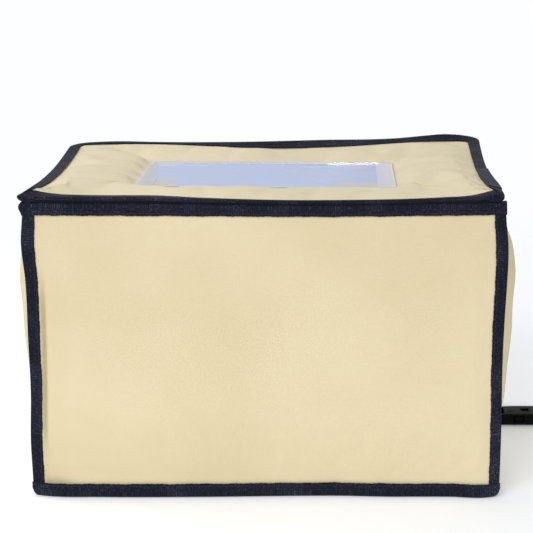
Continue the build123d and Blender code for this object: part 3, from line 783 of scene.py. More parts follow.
def make_back():
    """Back panel with its lining and the hole for the gland."""
    puff = sizes().front_puff / MM
    cloth = panel("back_panel", -HALF_X + 1, HALF_X - 1, 1.2, WALL_TOP - 0.4, END_OUT, 1, puff * 0.6, CANVAS)
    inner = panel("back_lining_sheet", -SIDE_OUT + 1, SIDE_OUT - 1, BASE_TOP, WALL_TOP - 1, END_IN, -1, 0.0,
                  END_LINING, cell=9, spare=0)
    for piece, finish, slot, node in ((cloth, "canvas", "cream_fabric", "back_cover"),
                                      (inner, "lining", "lining", "back_lining")):
        cut(piece, rod("punch", (GLAND[0], END_OUT - 3, GLAND[2]), GLAND_NECK + 0.1, 30, "Y", 48))
        dress(piece, finish, "back_and_base", [node])


# ---- the swollen sides ----

swell_up = curve_through((8, 0), (13, 0.02), (24, 0.20), (40, 0.42), (65, 0.65), (97, 0.81), (132, 0.93),
                         (165, 0.99), (195, 1.0), (226, 0.85), (246, 0.58), (258, 0.30), (266, 0.03),
                         (278, 0))


def make_side(side):
    """One side: a single swollen cloth, cut at the crease into its rear and front halves."""
    way = 1 if side == "right" else -1
    swell = (sizes().swell_right if way > 0 else sizes().swell_left) / MM
    top, foot = WALL_TOP - 0.4, WALL_FOOT
    along, across = 68, 60

    def place(i, j):
        y = -SIDE_END + 2 * SIDE_END * i / along
        z = foot + (top - foot) * j / across
        deep = 1 - np.abs(y / (SIDE_END - 2)) ** 2.5
        shape = np.clip(deep, 0, 1) * swell_up(z)
        puckers = gather(y, z, -SIDE_END, SIDE_END, foot, LEG, 0.9) * np.sqrt(np.maximum(shape, 0))
        soft = ripple(y, z, 1.1, 120) * shape + puckers
        return way * (SIDE_OUT + swell * shape + soft), y, z
    whole = strip(f"{side}_side", along, across, place, flat=[1, 2], out=(way, 0, 0))
    spots = points(whole)
    seam = (np.abs(spots[:, 1]) > SIDE_END - 3) | (spots[:, 2] < FOOT + 1) | (spots[:, 2] > LEG)
    relax(whole, seam.astype(float), 2.5, 0.012, 4.0)
    clear = SIDE_OUT + 0.3                        # the cloth stays outside its boards
    mould(whole, lambda x, y, z: side_form(way * np.maximum(way * x, clear), y, z, END_BOARD - 1.0))
    for end, keep in (("rear", 1), ("front", -1)):
        only(whole)
        bpy.ops.object.duplicate(linked=False)
        half = bpy.context.object
        half.name = half.data.name = f"{side}_{end}_panel"
        with Shaping(half) as edit:
            edit.take()
            bpy.ops.mesh.bisect(plane_co=(0, keep * 0.05 * MM, 0), plane_no=(0, -keep, 0), clear_outer=True)
        thicken(half, CANVAS, -1)
        body = f"{side}_{end}_wall"
        dress(half, "canvas", body, [f"{side}_{end}_cover"])
        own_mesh(half)
        y0, y1 = sorted((keep * HALF_GAP, keep * SIDE_END))

        def inner(i, j, y0=y0, y1=y1):
            y, z = y0 + (y1 - y0) * i / 20, WALL_FOOT + (WALL_TOP - 1 - WALL_FOOT) * j / 32
            return way * (SIDE_IN + 0.2 - ripple(y, z, 0.15, 70)), y, z
        sheet = strip(f"{side}_{end}_lining_sheet", 20, 32, inner, flat=[1, 2], out=(-way, 0, 0))
        mould(sheet, lambda x, y, z: side_form(x, y, z, END_IN))
        thicken(sheet, LINING, -1)
        dress(sheet, "lining", body, [f"{side}_{end}_lining"])
    bpy.data.objects.remove(whole)


# ---- base ----

def make_base():
    """Base: cloth underneath, and a foam-backed lining with a stitched field over the heating mat."""
    mat = corners("heating_mat")[1]

    def under(i, j):
        x, y = -SIDE_OUT + 2 * SIDE_OUT * i / 60, -END_OUT + (END_OUT + END_IN) * j / 44
        lean = foot_push(x) * (j == 0)
        return x, y - lean, 0.1 + ripple(x, y, 0.1, 60) ** 2
    cloth = strip("base_underside", 60, 44, under, flat=[0, 1], out=(0, 0, -1), thick=BASE_CLOTH)
    dress(cloth, "base_cloth", "back_and_base", ["base_cover"])

    low, high = corners("base_board")
    board = block("base_board_sheet", low[0], high[0], -END_OUT + 2, high[1], low[2] + 0.1, high[2])
    with Shaping(board) as edit:
        edit.take()
        bpy.ops.mesh.subdivide(number_cuts=30)
    mould(board, lambda x, y, z: (x, y - (foot_push(x) + 1.5) * blendover(-y, 120, 157), z))
    dress(board, "board", "back_and_base", ["base_board"])

    def over(i, j):
        x, y = -SIDE_OUT + 2 * SIDE_OUT * i / 120, -END_OUT + (END_OUT + END_IN) * j / 90
        far = np.maximum(np.abs(x) - mat[0] - 4, np.abs(y) - mat[1] - 4)
        seam = 0.9 * np.exp(-(far / 2.2) ** 2)
        y = y - (foot_push(x) - 0.5) * blendover(-y, 140, 157)
        return x, y, BASE_TOP - 0.1 - seam - np.abs(ripple(x, y, 0.25, 90))
    quilt = strip("base_lining_sheet", 120, 90, over, flat=[0, 1], out=(0, 0, 1), thick=LINING)
    dress(quilt, "lining", "back_and_base", ["base_lining", "base_foam"])


# ---- lid ----
# Each line runs along one edge of the lid: a bow draws it in, a crest is the height of its tape's fold and
# a leg that of the tape's inner edge.

left_bow = curve_through((-160, -4.6), (-150, -2.4), (-125, 1.5), (-100, 3.6), (-60, 4.6), (0, 4.4),
                         (60, 3.0), (120, 1.4), (160, 0.6))
right_bow = curve_through((-160, -0.2), (-150, 0.4), (-120, 2.0), (-90, 3.8), (-40, 4.8), (20, 4.2),
                          (90, 2.4), (140, 1.0), (160, 0.4))
front_crest = curve_through((-220, 284.4), (-185, 283.4), (-130, 282.6), (-94, 282), (-57, 280.9),
                            (-20, 279.9), (17, 279.1), (90, 279.0), (126, 279.5), (162, 280.7), (190, 282),
                            (220, 284.4))
front_leg = curve_through((-220, 291), (-211, 289), (-205, 287), (-188, 284), (-168, 283), (-94, 282),
                          (-57, 280), (-20, 278.2), (16, 277), (90, 276.9), (126, 277.5), (162, 279),
                          (190, 281), (199, 282.7), (210, 286), (220, 290))
left_crest = curve_through((-160, 284.4), (-130, 286), (-60, 285.6), (0, 285.4), (80, 286.6), (160, 289.6))
left_leg = curve_through((-160, 291), (-140, 288.5), (-100, 286.6), (0, 285), (80, 286.2), (160, 290))
right_crest = curve_through((-160, 284.4), (-125, 286.4), (0, 287), (80, 289.6), (137, 294), (160, 295.5))
right_leg = curve_through((-160, 290), (-130, 287.6), (-60, 286), (0, 286.4), (80, 288.6), (160, 292))
back_crest = curve_through((-220, 289.6), (-167, 291.3), (-124, 290.3), (-37, 290), (50, 291.6), (136, 293.4),
                           (165, 296), (180, 297.2), (205, 296), (220, 294.5))
back_leg = curve_through((-220, 290), (-122, 290.4), (-79, 288.5), (-36, 286.2), (7, 284.8), (50, 285.7),
                         (93, 287.6), (135, 290.4), (220, 292))
CRESTS = front_crest, left_crest, right_crest, back_crest
LEGS = front_leg, left_leg, right_leg, back_leg
REAR_ROUND, FRONT_ROUND = 22.0, 5.0               # radius of the lid's corners


def lid_outline(steps):
    """The lid's edge from the middle of the back round by the left, with the way out at each point."""
    def arc(x, y, radius, start):
        turn = np.radians(start + np.linspace(0, 90, 10))
        return list(zip(x + radius * np.cos(turn), y + radius * np.sin(turn)))
    half = [(0, LID_REAR), *arc(-HALF_X + REAR_ROUND, LID_REAR - REAR_ROUND, REAR_ROUND, 90),
            *arc(-HALF_X + FRONT_ROUND, -HALF_Y + FRONT_ROUND, FRONT_ROUND, 180), (0, -HALF_Y)]
    loop = np.array(half + [(-x, y) for x, y in half[-2::-1]])
    walked = np.r_[0, np.cumsum(np.linalg.norm(np.diff(loop, axis=0), axis=1))]
    at = np.linspace(0, walked[-1], steps + 1)
    edge = np.column_stack([np.interp(at, walked, loop[:, k]) for k in (0, 1)])
    before, after = np.roll(edge[:-1], 1, axis=0), np.roll(edge[:-1], -1, axis=0)
    run = after - before
    run = np.vstack([run, run[:1]]) / np.linalg.norm(run, axis=1).mean()
    out = np.column_stack([run[:, 1], -run[:, 0]])
    return edge, out / np.linalg.norm(out, axis=1, keepdims=True)


def edge_height(edge, out, lines):
    """Height on the lid's edge from its four lines, carried smoothly round the corners."""
    front, left, right, back = lines
    x, y = edge.T
    across, deep = out.T
    weights = [np.clip(share, 0, 1) ** 2 for share in (-deep, -across, across, deep)]
    return sum(w * h for w, h in zip(weights, (front(x), left(y), right(y), back(x))))


def inset(edge, out, depth):
    """The edge taken inwards, square where it is deeper than the corner's round."""
    x, y = (edge - out * np.reshape(depth, (-1, 1))).T
    return (np.clip(x, -HALF_X + depth, HALF_X - depth),
            np.clip(y, -HALF_Y + depth, LID_REAR - depth))


def side_bow(x, y):
    """How far the nearer side of the lid draws in."""
    return np.where(x < 0, left_bow(y), right_bow(y))


def lid_form(x, y, z):
    """The lid's sides draw in between its corners."""
    return x - np.sign(x) * side_bow(x, y) * np.abs(x / HALF_X) ** 4, y, z


def window_level(x, y):
    """The window hangs below the lid's edge, lowest along its right side. Beyond it the level runs on."""
    x, y = np.clip(x, -WINDOW_X, WINDOW_X), np.clip(y, -WINDOW_Y, WINDOW_Y)
    across, deep = (x / WINDOW_X + 1) / 2, (y / WINDOW_Y + 1) / 2
    front = 280.8 - 3.0 * across
    rear = 280.2 - 2.8 * across
    return front + (rear - front) * deep


def creases(x, y):
    """Folds between the window and the lid's edge: depth, width and run of each, with a ridge beside it."""
    folds = ((5.4, 6, (129, -78), (145, -62), (165, -47), (182, -64), (200, -108)),
             (2.0, 9, (150, -10), (178, 20), (204, 30)), (2.6, 12, (122, 88), (150, 100), (186, 96)),
             (2.6, 11, (160, 54), (186, 70), (204, 68)), (3.0, 8, (-200, -92), (-164, -82), (-134, -80)),
             (3.4, 8, (-196, -38), (-176, -46), (-126, -36)), (2.6, 9, (-192, 22), (-168, 6), (-122, 10)),
             (2.4, 10, (-184, 72), (-160, 56), (-124, 54)), (2.8, 11, (-176, 128), (-150, 104), (-120, 90)))
    total = 0
    for depth, width, *spots in folds:
        side = np.full(np.shape(x), 999.0)
        for (x0, y0), (x1, y1) in zip(spots, spots[1:]):
            run = np.hypot(x1 - x0, y1 - y0)
            way_x, way_y = (x1 - x0) / run, (y1 - y0) / run
            along = np.clip((x - x0) * way_x + (y - y0) * way_y, 0, run)
            off_x, off_y = x - x0 - along * way_x, y - y0 - along * way_y
            far = np.copysign(np.hypot(off_x, off_y), off_x * way_y - off_y * way_x)
            side = np.where(np.abs(far) < np.abs(side), far, side)
        ridge = side / width - 1.6
        ridge = 1.1 * np.exp(-(ridge / np.where(ridge > 0, 2.4, 1.3)) ** 2)
        total = total + depth * (ridge - 0.7 * np.exp(-(side / width) ** 2))
    return total * blendover(np.abs(x), WINDOW_X - 6, WINDOW_X + 12)


def ring(name, steps, across, hole_x, hole_y, reach, level, **options):
    """Cloth between the lid's edge, taken in by reach, and a hole in its middle."""
    edge, out = lid_outline(steps)
    outer = np.column_stack(inset(edge, out, reach))
    scaled = outer * (hole_x / np.abs(outer[:, 0]).max(), hole_y / np.abs(outer[:, 1]).max())
    inner = scaled / np.maximum(np.abs(scaled[:, :1]) / hole_x, np.abs(scaled[:, 1:]) / hole_y)

    def place(i, j):
        share = j / across
        x, y = (outer[i] * (1 - share[:, None]) + inner[i] * share[:, None]).T
        return lid_form(x, y, level(i, share, x, y, edge, out))
    return strip(name, steps, across, place, flat=[0, 1], closed=True, **options)


def make_lid_cloth():
    """The lid's padded canvas, and its lining underneath."""
    puff = sizes().lid_puff / MM

    def over(i, share, x, y, edge, out):
        crest = edge_height(edge, out, CRESTS)[i]
        leg = edge_height(edge, out, LEGS)[i]
        depth = np.minimum(HALF_X - np.abs(x), np.where(y > 0, LID_REAR - y, HALF_Y + y))
        level = crest + (leg - crest) * np.clip(depth / 12, 0, 1) - 1.2
        open_share = np.clip((share - 0.08) / 0.92, 0, 1)
        hole = window_level(x, y) - 0.6
        soft = blendover(open_share, 0, 0.22) * blendover(1 - open_share, 0.17, 0.38)
        level = level + (hole - level) * np.minimum(open_share / 0.84, 1) ** 0.9
        return level + soft * (puff + ripple(x, y, 0.5, 85))
    top = ring("lid_padding", 360, 32, WINDOW_X - 14, WINDOW_Y - 14, 7, over, out=(0, 0, 1))
    x, y, _ = points(top).T
    sewn = (np.abs(x) < WINDOW_X + 2) & (np.abs(y) < WINDOW_Y + 2)
    sewn |= (np.abs(x) + side_bow(x, y) > HALF_X - 15) | (y < 15 - HALF_Y) | (y > LID_REAR - 15)
    relax(top, sewn.astype(float), 2.0, 0.007, 2.5)

    def pulled(x, y, z):
        from_edge = np.minimum(HALF_X - side_bow(x, y) - np.abs(x), HALF_Y - np.abs(y))
        from_window = np.maximum(np.abs(x) - WINDOW_X, np.abs(y) - WINDOW_Y)
        return x, y, z + blendover(from_edge, 12, 34) * blendover(from_window, 1, 10) * creases(x, y)
    mould(top, pulled)
    dress(thicken(top, CANVAS, -1), "lid_canvas", "lid", ["lid_cover", "lid_foam"])

    def under(i, share, x, y, edge, out):
        leg = edge_height(edge, out, LEGS)[i] - 2.6
        hole = window_level(x, y) - 2.2
        outer = (LID_COIL + 0.6 - rim_dip(edge[:, 0]) * np.clip(-out[:, 1], 0, 1))[i]
        level = outer + (np.minimum(outer, leg) - outer) * blendover(share, 0, 0.12)
        level = level + (hole - level) * blendover(share, 0.1, 1) - 1.0 * np.sin(math.pi * share)
        return np.maximum(level, LID_COIL - 0.1 - 9 * blendover(-y, -138, -100))
    lining = ring("lid_lining_sheet", 240, 14, WINDOW_X - 13, WINDOW_Y - 13, 5, under, out=(0, 0, -1),
                  thick=LINING)
    dress(lining, "lining", "lid", ["lid_lining"])


def make_window():
    """The window: sagging film, and its milky welded margin."""
    def film(i, j):
        across, deep = 2 * i / 64 - 1, 2 * j / 44 - 1
        x, y = (WINDOW_X - 7) * across, (WINDOW_Y - 5) * deep
        free = (1 - across ** 4) * (1 - deep ** 4)
        return x, y, window_level(x, y) - 0.1 + free * (ripple(x, y, 0.2, 110) - 0.6)
    sheet = strip("window_sheet", 64, 44, film, flat=[0, 1], out=(0, 0, 1), thick=FILM)
    dress(sheet, "film", "lid", ["window_film"])
    steps, across, width = 260, 7, 17
    edge, _ = lid_outline(steps)
    outer = edge / np.maximum(np.abs(edge[:, :1]) / WINDOW_X, np.abs(edge[:, 1:]) / WINDOW_Y)

    def margin(i, j):
        inwards = width * j / across
        x = np.clip(outer[i, 0], -WINDOW_X, WINDOW_X)
        y = np.clip(outer[i, 1], -WINDOW_Y, WINDOW_Y)
        slim = np.where(x < 0, 0.5 * blendover(y, -60, 70), 0)
        x = x * (1 - inwards * (1 - slim) / WINDOW_X)
        y = y * (1 - inwards * np.where(y < 0, 0.35, 1) / WINDOW_Y)
        lift = 1.0 - 0.85 * blendover(inwards, 3, width) + ripple(x, y, 0.12, 60)
        return x, y, window_level(x, y) + lift
    weld = strip("window_margin", steps, across, margin, closed=True, out=(0, 0, 1), thick=WELD)
    dress(weld, "weld", "lid", ["window_weld"])


def ear(x, y, z):
    """The lid's front left corner juts out over the rim."""
    jut = blendover(-x, 206, 214) * blendover(-y, 146, 156)
    return x - jut * (1.0 * np.exp(-((z - 283.4) / 1.9) ** 2) - 3.0 * blendover(281.5 - z, 0, 2)), y, z


def make_lid_tape():
    """Tape folded over the lid's edge, low in the middle of the front and standing up along the back."""
    steps = 560
    edge, out = lid_outline(steps)
    crest = edge_height(edge, out, CRESTS)
    leg = edge_height(edge, out, LEGS)
    low = LID_COIL + 0.5 - rim_dip(edge[:, 0]) * np.clip(-out[:, 1], 0, 1)
    low = low - 2.4 * blendover(np.abs(edge[:, 0]), 203, 212) * blendover(-edge[:, 1], 140, 152)
    walk = np.arange(steps + 1) * 2.7
    reach = 12 + ripple(walk, 0, 0.35, 27) * (1 - np.cos(walk / walk[-1] * TURN)) / 2
    section = []
    for depth in (9.0, 6.0, 3.0, 1.0):
        x, y = inset(edge, out, depth)
        section.append((x, y, np.minimum(low, crest + (leg - crest) * depth / 12 - 2.7)))
    for depth, share in ((0.0, 0.12), (-0.4, 0.4), (-0.3, 0.7), (0.3, 0.95), (1.6, 1.0)):
        x, y = inset(edge, out, depth)
        section.append((x, y, low + (crest - low) * share))
    for share in (0.25, 0.45, 0.65, 0.85, 1.0):
        x, y = inset(edge, out, 1.6 + (reach - 1.6) * share)
        section.append((x, y, crest + (leg - crest) * share + 0.35 * math.sin(math.pi * share)))
    section = np.array(section)

    def place(i, j):
        return ear(*lid_form(*section[j, :, i].T))
    band = strip("lid_edge_tape", steps, len(section) - 1, place, folded=True, closed=True, thick=TAPE,
                 sink=0)
    dress(band, "tape", "lid", ["lid_binding"])
    lapped = np.flatnonzero((edge[:, 0] > HALF_X - 1) & (edge[:, 1] > -139) & (edge[:, 1] < -24))

    def over(i, j):
        x, y, z = section[6 + j, :, lapped[0] + i].T
        return lid_form(x + 0.6 * (j < 2), y, z + 0.85)
    lap = strip("lid_tape_lap", len(lapped) - 1, 7, over, folded=True, thick=TAPE, sink=0)
    dress(lap, "tape_lap", "lid")


# ---- edge tapes on the walls ----

def rim_section(way, out, inner):
    """Tape over the top of a wall: down its outer face, and down its inner face."""
    return bent((way * (out + 0.4), LEG), (way * (out + 0.4), RIM - 0.4), (way * (inner - 0.4), RIM - 0.4),
                (way * (inner - 0.4), LEG))


def end_tapes(way, foot, form):
    """Tapes on the front (way -1) or back (way 1) panel: rim outside and inside, and both uprights."""
    fine = 1.5 if way < 0 else 3.0
    outer = [(way * (END_OUT + 0.7), LEG), (way * (END_OUT + 0.7), RIM - 0.4),
             (way * (END_IN - 0.2), RIM - 0.4)]
    inner = [(way * (END_IN + 0.4), RIM - 0.5), (way * (END_IN - 0.4), RIM - 1.2),
             (way * (END_IN - 0.4), LEG)]
    parts = [tape("part", bent(*outer), -HALF_X - 0.3, HALF_X + 0.3, "x", form, fine),
             tape("part", bent(*inner), -FRONT_REACH, FRONT_REACH, "x", form, 4.0)]
    for side in (-1, 1):
        wide = 1.6 if side < 0 and way < 0 else 0
        leg = bent((side * (SIDE_OUT + 0.4 - wide), way * (END_OUT + 0.4)),
                   (side * (HALF_X - 0.4), way * (END_OUT + 0.4)),
                   (side * (HALF_X - 0.4), way * (END_BOARD - 0.4)),
                   (side * (SEAM_X + 0.5), way * (END_BOARD - 0.4)))
        parts.append(tape("part", leg, foot, RIM - 1.0, "z", form, fine))
    return parts


def round_foot(x, z, radius=8.0):
    """Lift the lower corners of a bottom tape to a rounded corner."""
    past = np.clip(np.abs(x) - (HALF_X - radius), 0, radius)
    return np.maximum(z, radius - np.sqrt(radius ** 2 - past ** 2))


def make_edge_tapes():
    """Tapes on the rim, the upright edges and round the base."""
    front = join("front_edge_tape", *end_tapes(-1, FOOT - 2, front_form))
    dress(front, "tape", "front_wall", ["front_binding"])

    def foot_form(x, y, z):
        return front_form(x, y, round_foot(x, z))
    low = [(-END_OUT - 1.3, FOOT - 0.1), (-END_OUT - 1.5, 6), (-END_OUT - 1.3, 0.5), (-END_OUT + 6, 0.45)]
    strip_front = tape("bottom_front_tape", bent(*low), -HALF_X - 0.2, HALF_X + 0.2, "x", foot_form, 1.5)
    dress(strip_front, "tape", "back_and_base", ["bottom_binding_front"])

    def plain_foot(x, y, z):
        return x, y, round_foot(x, z, 6.0)
    low = [(END_OUT + 0.6, FOOT), (END_OUT + 0.6, 0.5), (END_IN, 0.45)]
    rear = end_tapes(1, 1.0, None)
    rear.append(tape("part", bent(*low), -HALF_X, HALF_X, "x", plain_foot, 3.0))
    dress(join("back_edge_tape", *rear), "tape", "back_and_base", ["back_binding"])
    for side, way in (("right", 1), ("left", -1)):
        low = [(way * (SEAM_X - 0.4), FOOT), (way * (SEAM_X - 0.4), 0.5), (way * (SEAM_X - 7), 0.45)]
        foot = tape(f"bottom_{side}_tape", bent(*low), -END_BOARD + 1.6, END_BOARD - 1, "y", None, 3.0)
        dress(foot, "tape", "back_and_base", [f"bottom_binding_{side}"])
        for end, keep in (("rear", 1), ("front", -1)):
            rim = tape(f"{side}_{end}_rim_tape", rim_section(way, SIDE_OUT, SIDE_IN), keep * HALF_GAP,
                       keep * SIDE_END, "y", None, 2.5)
            dress(rim, "tape", f"{side}_{end}_wall", [f"{side}_{end}_rim_binding"])


def make_hinge():
    """The lid's cloth hinge along the back."""
    low, high = corners("hinge_tape")
    middle = HALF_Y + 0.5

    def place(i, j):
        x = low[0] + (high[0] - low[0]) * i / 160
        z = low[2] + (high[2] - low[2]) * j / 20
        return x, middle + ripple(x, z, 0.08, 31), z
    hinge = strip("lid_hinge_tape", 160, 20, place, folded=True, thick=HINGE_TAPE, sink=0)
    dress(hinge, "tape", None, ["hinge_tape"])
    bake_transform(hinge)


# ---- zip ----

TOOTH_DEEP, TOOTH_WIDE, TOOTH_TALL = 2.1, 0.85, 1.7


def tooth_row(count, start, step, size):
    """A row of coil turns: one small rounded tooth, repeated."""
    half = np.array(size) / 2
    low, high = np.array(start) - half, np.array(start) + half
    tooth = block("part", low[0], high[0], low[1], high[1], low[2], high[2])
    bevel(tooth, None, 0.22, 1)
    return modify(tooth, "ARRAY", count=count, use_relative_offset=False, use_constant_offset=True,
                  constant_offset_displace=np.array(step) * MM)


def zip_side(way, y0, y1, level, foot, head, shift):
    """Coil at a level, and its woven tape from foot to head, along one side."""
    pitch = sizes().tooth / MM
    row = tooth_row(int((y1 - y0) / pitch), (way * (COIL_OUT - 1.3), y0 + pitch * (0.5 + shift), level),
                    (0, pitch, 0), (TOOTH_DEEP, TOOTH_WIDE, TOOTH_TALL))
    x = way * (COIL_OUT - 2.6)
    return [row, tape("part", bent((x, foot), (x, head)), y0, y1, "y", None, 4.0, 0, ZIP_TAPE)]


def zip_front(level, foot, head, shift):
    """Coil at a level, and its woven tape from foot to head, along the front."""
    pitch = sizes().tooth / MM
    row = tooth_row(int(2 * COIL_OUT / pitch), (-COIL_OUT + pitch * (0.5 + shift), -HALF_Y + 1.7, level),
                    (pitch, 0, 0), (TOOTH_WIDE, TOOTH_DEEP, TOOTH_TALL))
    y = -HALF_Y + 3.0
    web = tape("part", bent((y, foot), (y, head)), -COIL_OUT - 5, COIL_OUT + 5, "x", None, 4.0, 0, ZIP_TAPE)
    return [mould(part, lambda x, y, z: (x, y, z - rim_dip(x))) for part in (row, web)]


def make_zip():
    """The zip round the front and sides: one half of the coil on the rim, the other under the lid."""
    lower = RIM + 0.95, RIM - 3, RIM + 1.6, 0
    upper = LID_COIL - 0.25, RIM + 1.7, RIM + 4.2, 0.5
    row = join("front_zip_teeth", *zip_front(*lower))
    dress(row, "zip_nylon", "front_wall", ["front_zip_coil"])
    for side, way in (("right", 1), ("left", -1)):
        for end, y0, y1 in (("rear", HALF_GAP, SIDE_END), ("front", -SIDE_END, -HALF_GAP)):
            row = join(f"{side}_{end}_zip_teeth", *zip_side(way, y0, y1, *lower))
            dress(row, "zip_nylon", f"{side}_{end}_wall", [f"{side}_{end}_zip_coil"])
    parts = zip_front(*upper)
    for way in (-1, 1):
        parts += zip_side(way, -SIDE_END, SIDE_END, *upper)
    dress(join("lid_zip_teeth", *parts), "zip_nylon", "lid", ["lid_zip_coil"])


def make_slider():
    """Zip slider with its lugs, and the pull that hangs from them."""
    low, high = corners("zip_slider")
    pull_foot = corners("zip_pull")[0][2]
    y = (low[1] + high[1]) / 2
    face = COIL_OUT + 0.3
    plate = block("zip_slider_body", face, face + 1.3, low[1], high[1], low[2], high[2])
    with Shaping(plate) as edit:
        edit.take(lambda middle, way: way.y > 0.9)
        scale_taken((1, 1, 0.72), (face, high[1], (low[2] + high[2]) / 2))
        edit.take(lambda middle, way: way.x > 0.9)
        bpy.ops.mesh.inset(thickness=0.9 * MM)
        bpy.ops.transform.translate(value=(0.35 * MM, 0, 0))
    bevel(plate, lambda middle, way: middle.x < face + 1.31, 0.3, 2)
    top = block("part", low[0], face + 0.2, low[1] + 0.4, high[1] - 0.4, high[2] - 0.8, high[2])
    heel = block("part", low[0], low[0] + 1.2, low[1] + 0.8, high[1] - 0.8, RIM + 0.3, high[2])
    for part in (top, heel):
        bevel(part, None, 0.2, 2)
    pin_x, pin_z = face + 2.3, high[2] - 2.6
    lugs = []
    for lug_y in (y - 1.5, y + 1.5):
        lug = block("part", face + 1.0, pin_x + 1.1, lug_y - 0.5, lug_y + 0.5, pin_z - 1.1, pin_z + 1.1)
        bevel(lug, lambda middle, way: abs(way.y) > 0.9 and middle.x > face + 2, 0.7, 4)
        lugs.append(lug)
    slider = join("zip_slider_body", plate, top, heel, *lugs)
    dress(slider, "zip_metal", "slider", ["zip_slider"])
    x0, x1 = pin_x - 0.5, pin_x + 0.5
    shoulder = pin_z - 2.1
    tab = block("zip_pull_tab", x0, x1, y - 3, y + 3, pull_foot, shoulder)
    with Shaping(tab) as edit:
        edit.take(lambda middle, way: way.z > 0.9)
        scale_taken((1, 0.55, 1), (pin_x, y, shoulder))
    bevel(tab, lambda middle, way: abs(way.x) > 0.9, 1.4, 5)
    bevel(tab, lambda middle, way: abs(way.x) < 0.5 and abs(middle.x - pin_x) > 0.4, 0.18, 1)
    cut(tab, rod("punch", (pin_x, y, pull_foot + 4.2), 1.5, 6, "X", 24))
    neck = block("part", x0 + 0.15, x1 - 0.15, y - 0.8, y + 0.8, pin_z - 3.5, pin_z)
    bevel(neck, None, 0.15, 1)
    pin = rod("part", (pin_x, y, pin_z), 0.48, 3.9, "Y", 16)
    dress(join("zip_pull_tab", tab, neck, pin), "zip_metal", "pull", ["zip_pull"])


# ---- strap, buckle and gland ----

BUCKLE_LOW, BUCKLE_HIGH = corners("buckle_socket")
PLUG_LOW, PLUG_HIGH = corners("buckle_plug")
STRAP_Y = (BUCKLE_LOW[1] + BUCKLE_HIGH[1]) / 2
BUCKLE_Z = (BUCKLE_LOW[2] + BUCKLE_HIGH[2]) / 2
BAR = 2.0                                         # radius of the bars that the strap turns round
SLOT = 4.5                                        # room for the strap beside a bar
STRAP_HALF = 12.4                                 # half of the strap's width
PRONG_Y = 12.4                                    # from the buckle's middle line to a prong's
CATCH, CATCH_LONG = BUCKLE_HIGH[0] - 18, 12       # where the socket's side windows start, and their length


def loop_over(x, radius, start, end):
    """Points round a bar at x, between two angles in degrees."""
    return [(x + radius * math.cos(a), BUCKLE_Z + radius * math.sin(a))
            for a in np.radians(np.linspace(start, end, 9))]


def webbing(name, path):
    """Strap webbing along a path of (x, z), with softly uneven edges."""
    turns = np.array(path, float)
    walked = np.r_[0, np.cumsum(np.linalg.norm(np.diff(turns, axis=0), axis=1))]
    cells = round(walked[-1] / 1.2)
    at = np.linspace(0, walked[-1], cells + 1)
    line = np.column_stack([np.interp(at, walked, turns[:, k]) for k in (0, 1)])
    line[1:-1] = (line[:-2] + 2 * line[1:-1] + line[2:]) / 4

    def place(i, j):
        across = STRAP_HALF * (2 * j / 12 - 1)
        x, z = line[i].T
        return x, STRAP_Y + across * (1 + ripple(at[i], 0, 0.006, 30)), z
    return strip(name, cells, 12, place, thick=WEBBING, sink=0)


def make_strap():
    """Both runs of webbing: from the seam to the buckle, and back underneath it."""
    socket_bar, plug_bar = BUCKLE_LOW[0] + BAR, PLUG_HIGH[0] - BAR
    radius = BAR + 0.1 + 0.8
    path = [(SEAM_X - 0.6, 5.0), (socket_bar - 14, BUCKLE_Z - radius + 0.3), (socket_bar, BUCKLE_Z - radius)]
    path += loop_over(socket_bar, radius, -80, 90)
    path += [(socket_bar - 3, BUCKLE_Z + radius - 0.1), (socket_bar - 12, BUCKLE_Z - radius + 1.9)]
    inner = webbing("strap_to_socket", path)
    dress(inner, "webbing", "back_and_base", ["strap_inner"])
    low = 0.85
    high = BUCKLE_Z + BAR + 0.3 + 0.8
    middle, bend = (low + high) / 2, (high - low) / 2
    turn = [(plug_bar + bend * math.cos(a), middle + bend * math.sin(a))
            for a in np.radians(np.linspace(-90, 90, 13))]
    path = [(SEAM_X - 0.6, low), *turn, (plug_bar - 3, high - 0.3), (plug_bar - BAR - 2.2, high - 1.6)]
    outer = webbing("strap_return", path)
    dress(outer, "webbing", None, ["strap_outer"])
    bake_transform(outer)


def shell(name, low, high, thin_end):
    """A buckle half's outer block, rounded, and drawn in a little towards one end."""
    body = block(name, low[0], high[0], low[1], high[1], low[2], high[2])
    with Shaping(body) as edit:
        edit.take()
        bpy.ops.mesh.subdivide(number_cuts=5)
    length = high[0] - low[0]

    def form(x, y, z):
        toward = (x - low[0]) / length if thin_end > 0 else (high[0] - x) / length
        waist = 1 - 0.05 * blendover(toward, 0.35, 1.0)
        crown = 1 - 0.07 * np.abs((y - STRAP_Y) / 17) ** 2 - 0.10 * blendover(toward, 0.6, 1.0)
        return x, STRAP_Y + (y - STRAP_Y) * waist, BUCKLE_Z + (z - BUCKLE_Z) * crown
    mould(body, form)
    bevel(body, lambda middle, way: abs(way.x) > 0.7 and abs(abs(middle.y - STRAP_Y) - 16.6) < 0.9
          and abs(abs(middle.z - BUCKLE_Z) - 5.1) < 0.9, 1.4, 4)
    return body


def bar_and_cheeks(x, x0, x1):
    """The bar at x that the strap turns round, and the cheeks that hold it, from x0 to x1."""
    parts = [rod("part", (x, STRAP_Y, BUCKLE_Z), BAR, 2 * 16, "Y", 24)]
    for way in (-1, 1):
        y = STRAP_Y + way * 14.9
        cheek = block("part", x0, x1, y - 1.6, y + 1.6, BUCKLE_Z - 3.4, BUCKLE_Z + 3.4)
        bevel(cheek, None, 0.6, 3)
        parts.append(cheek)
    return parts


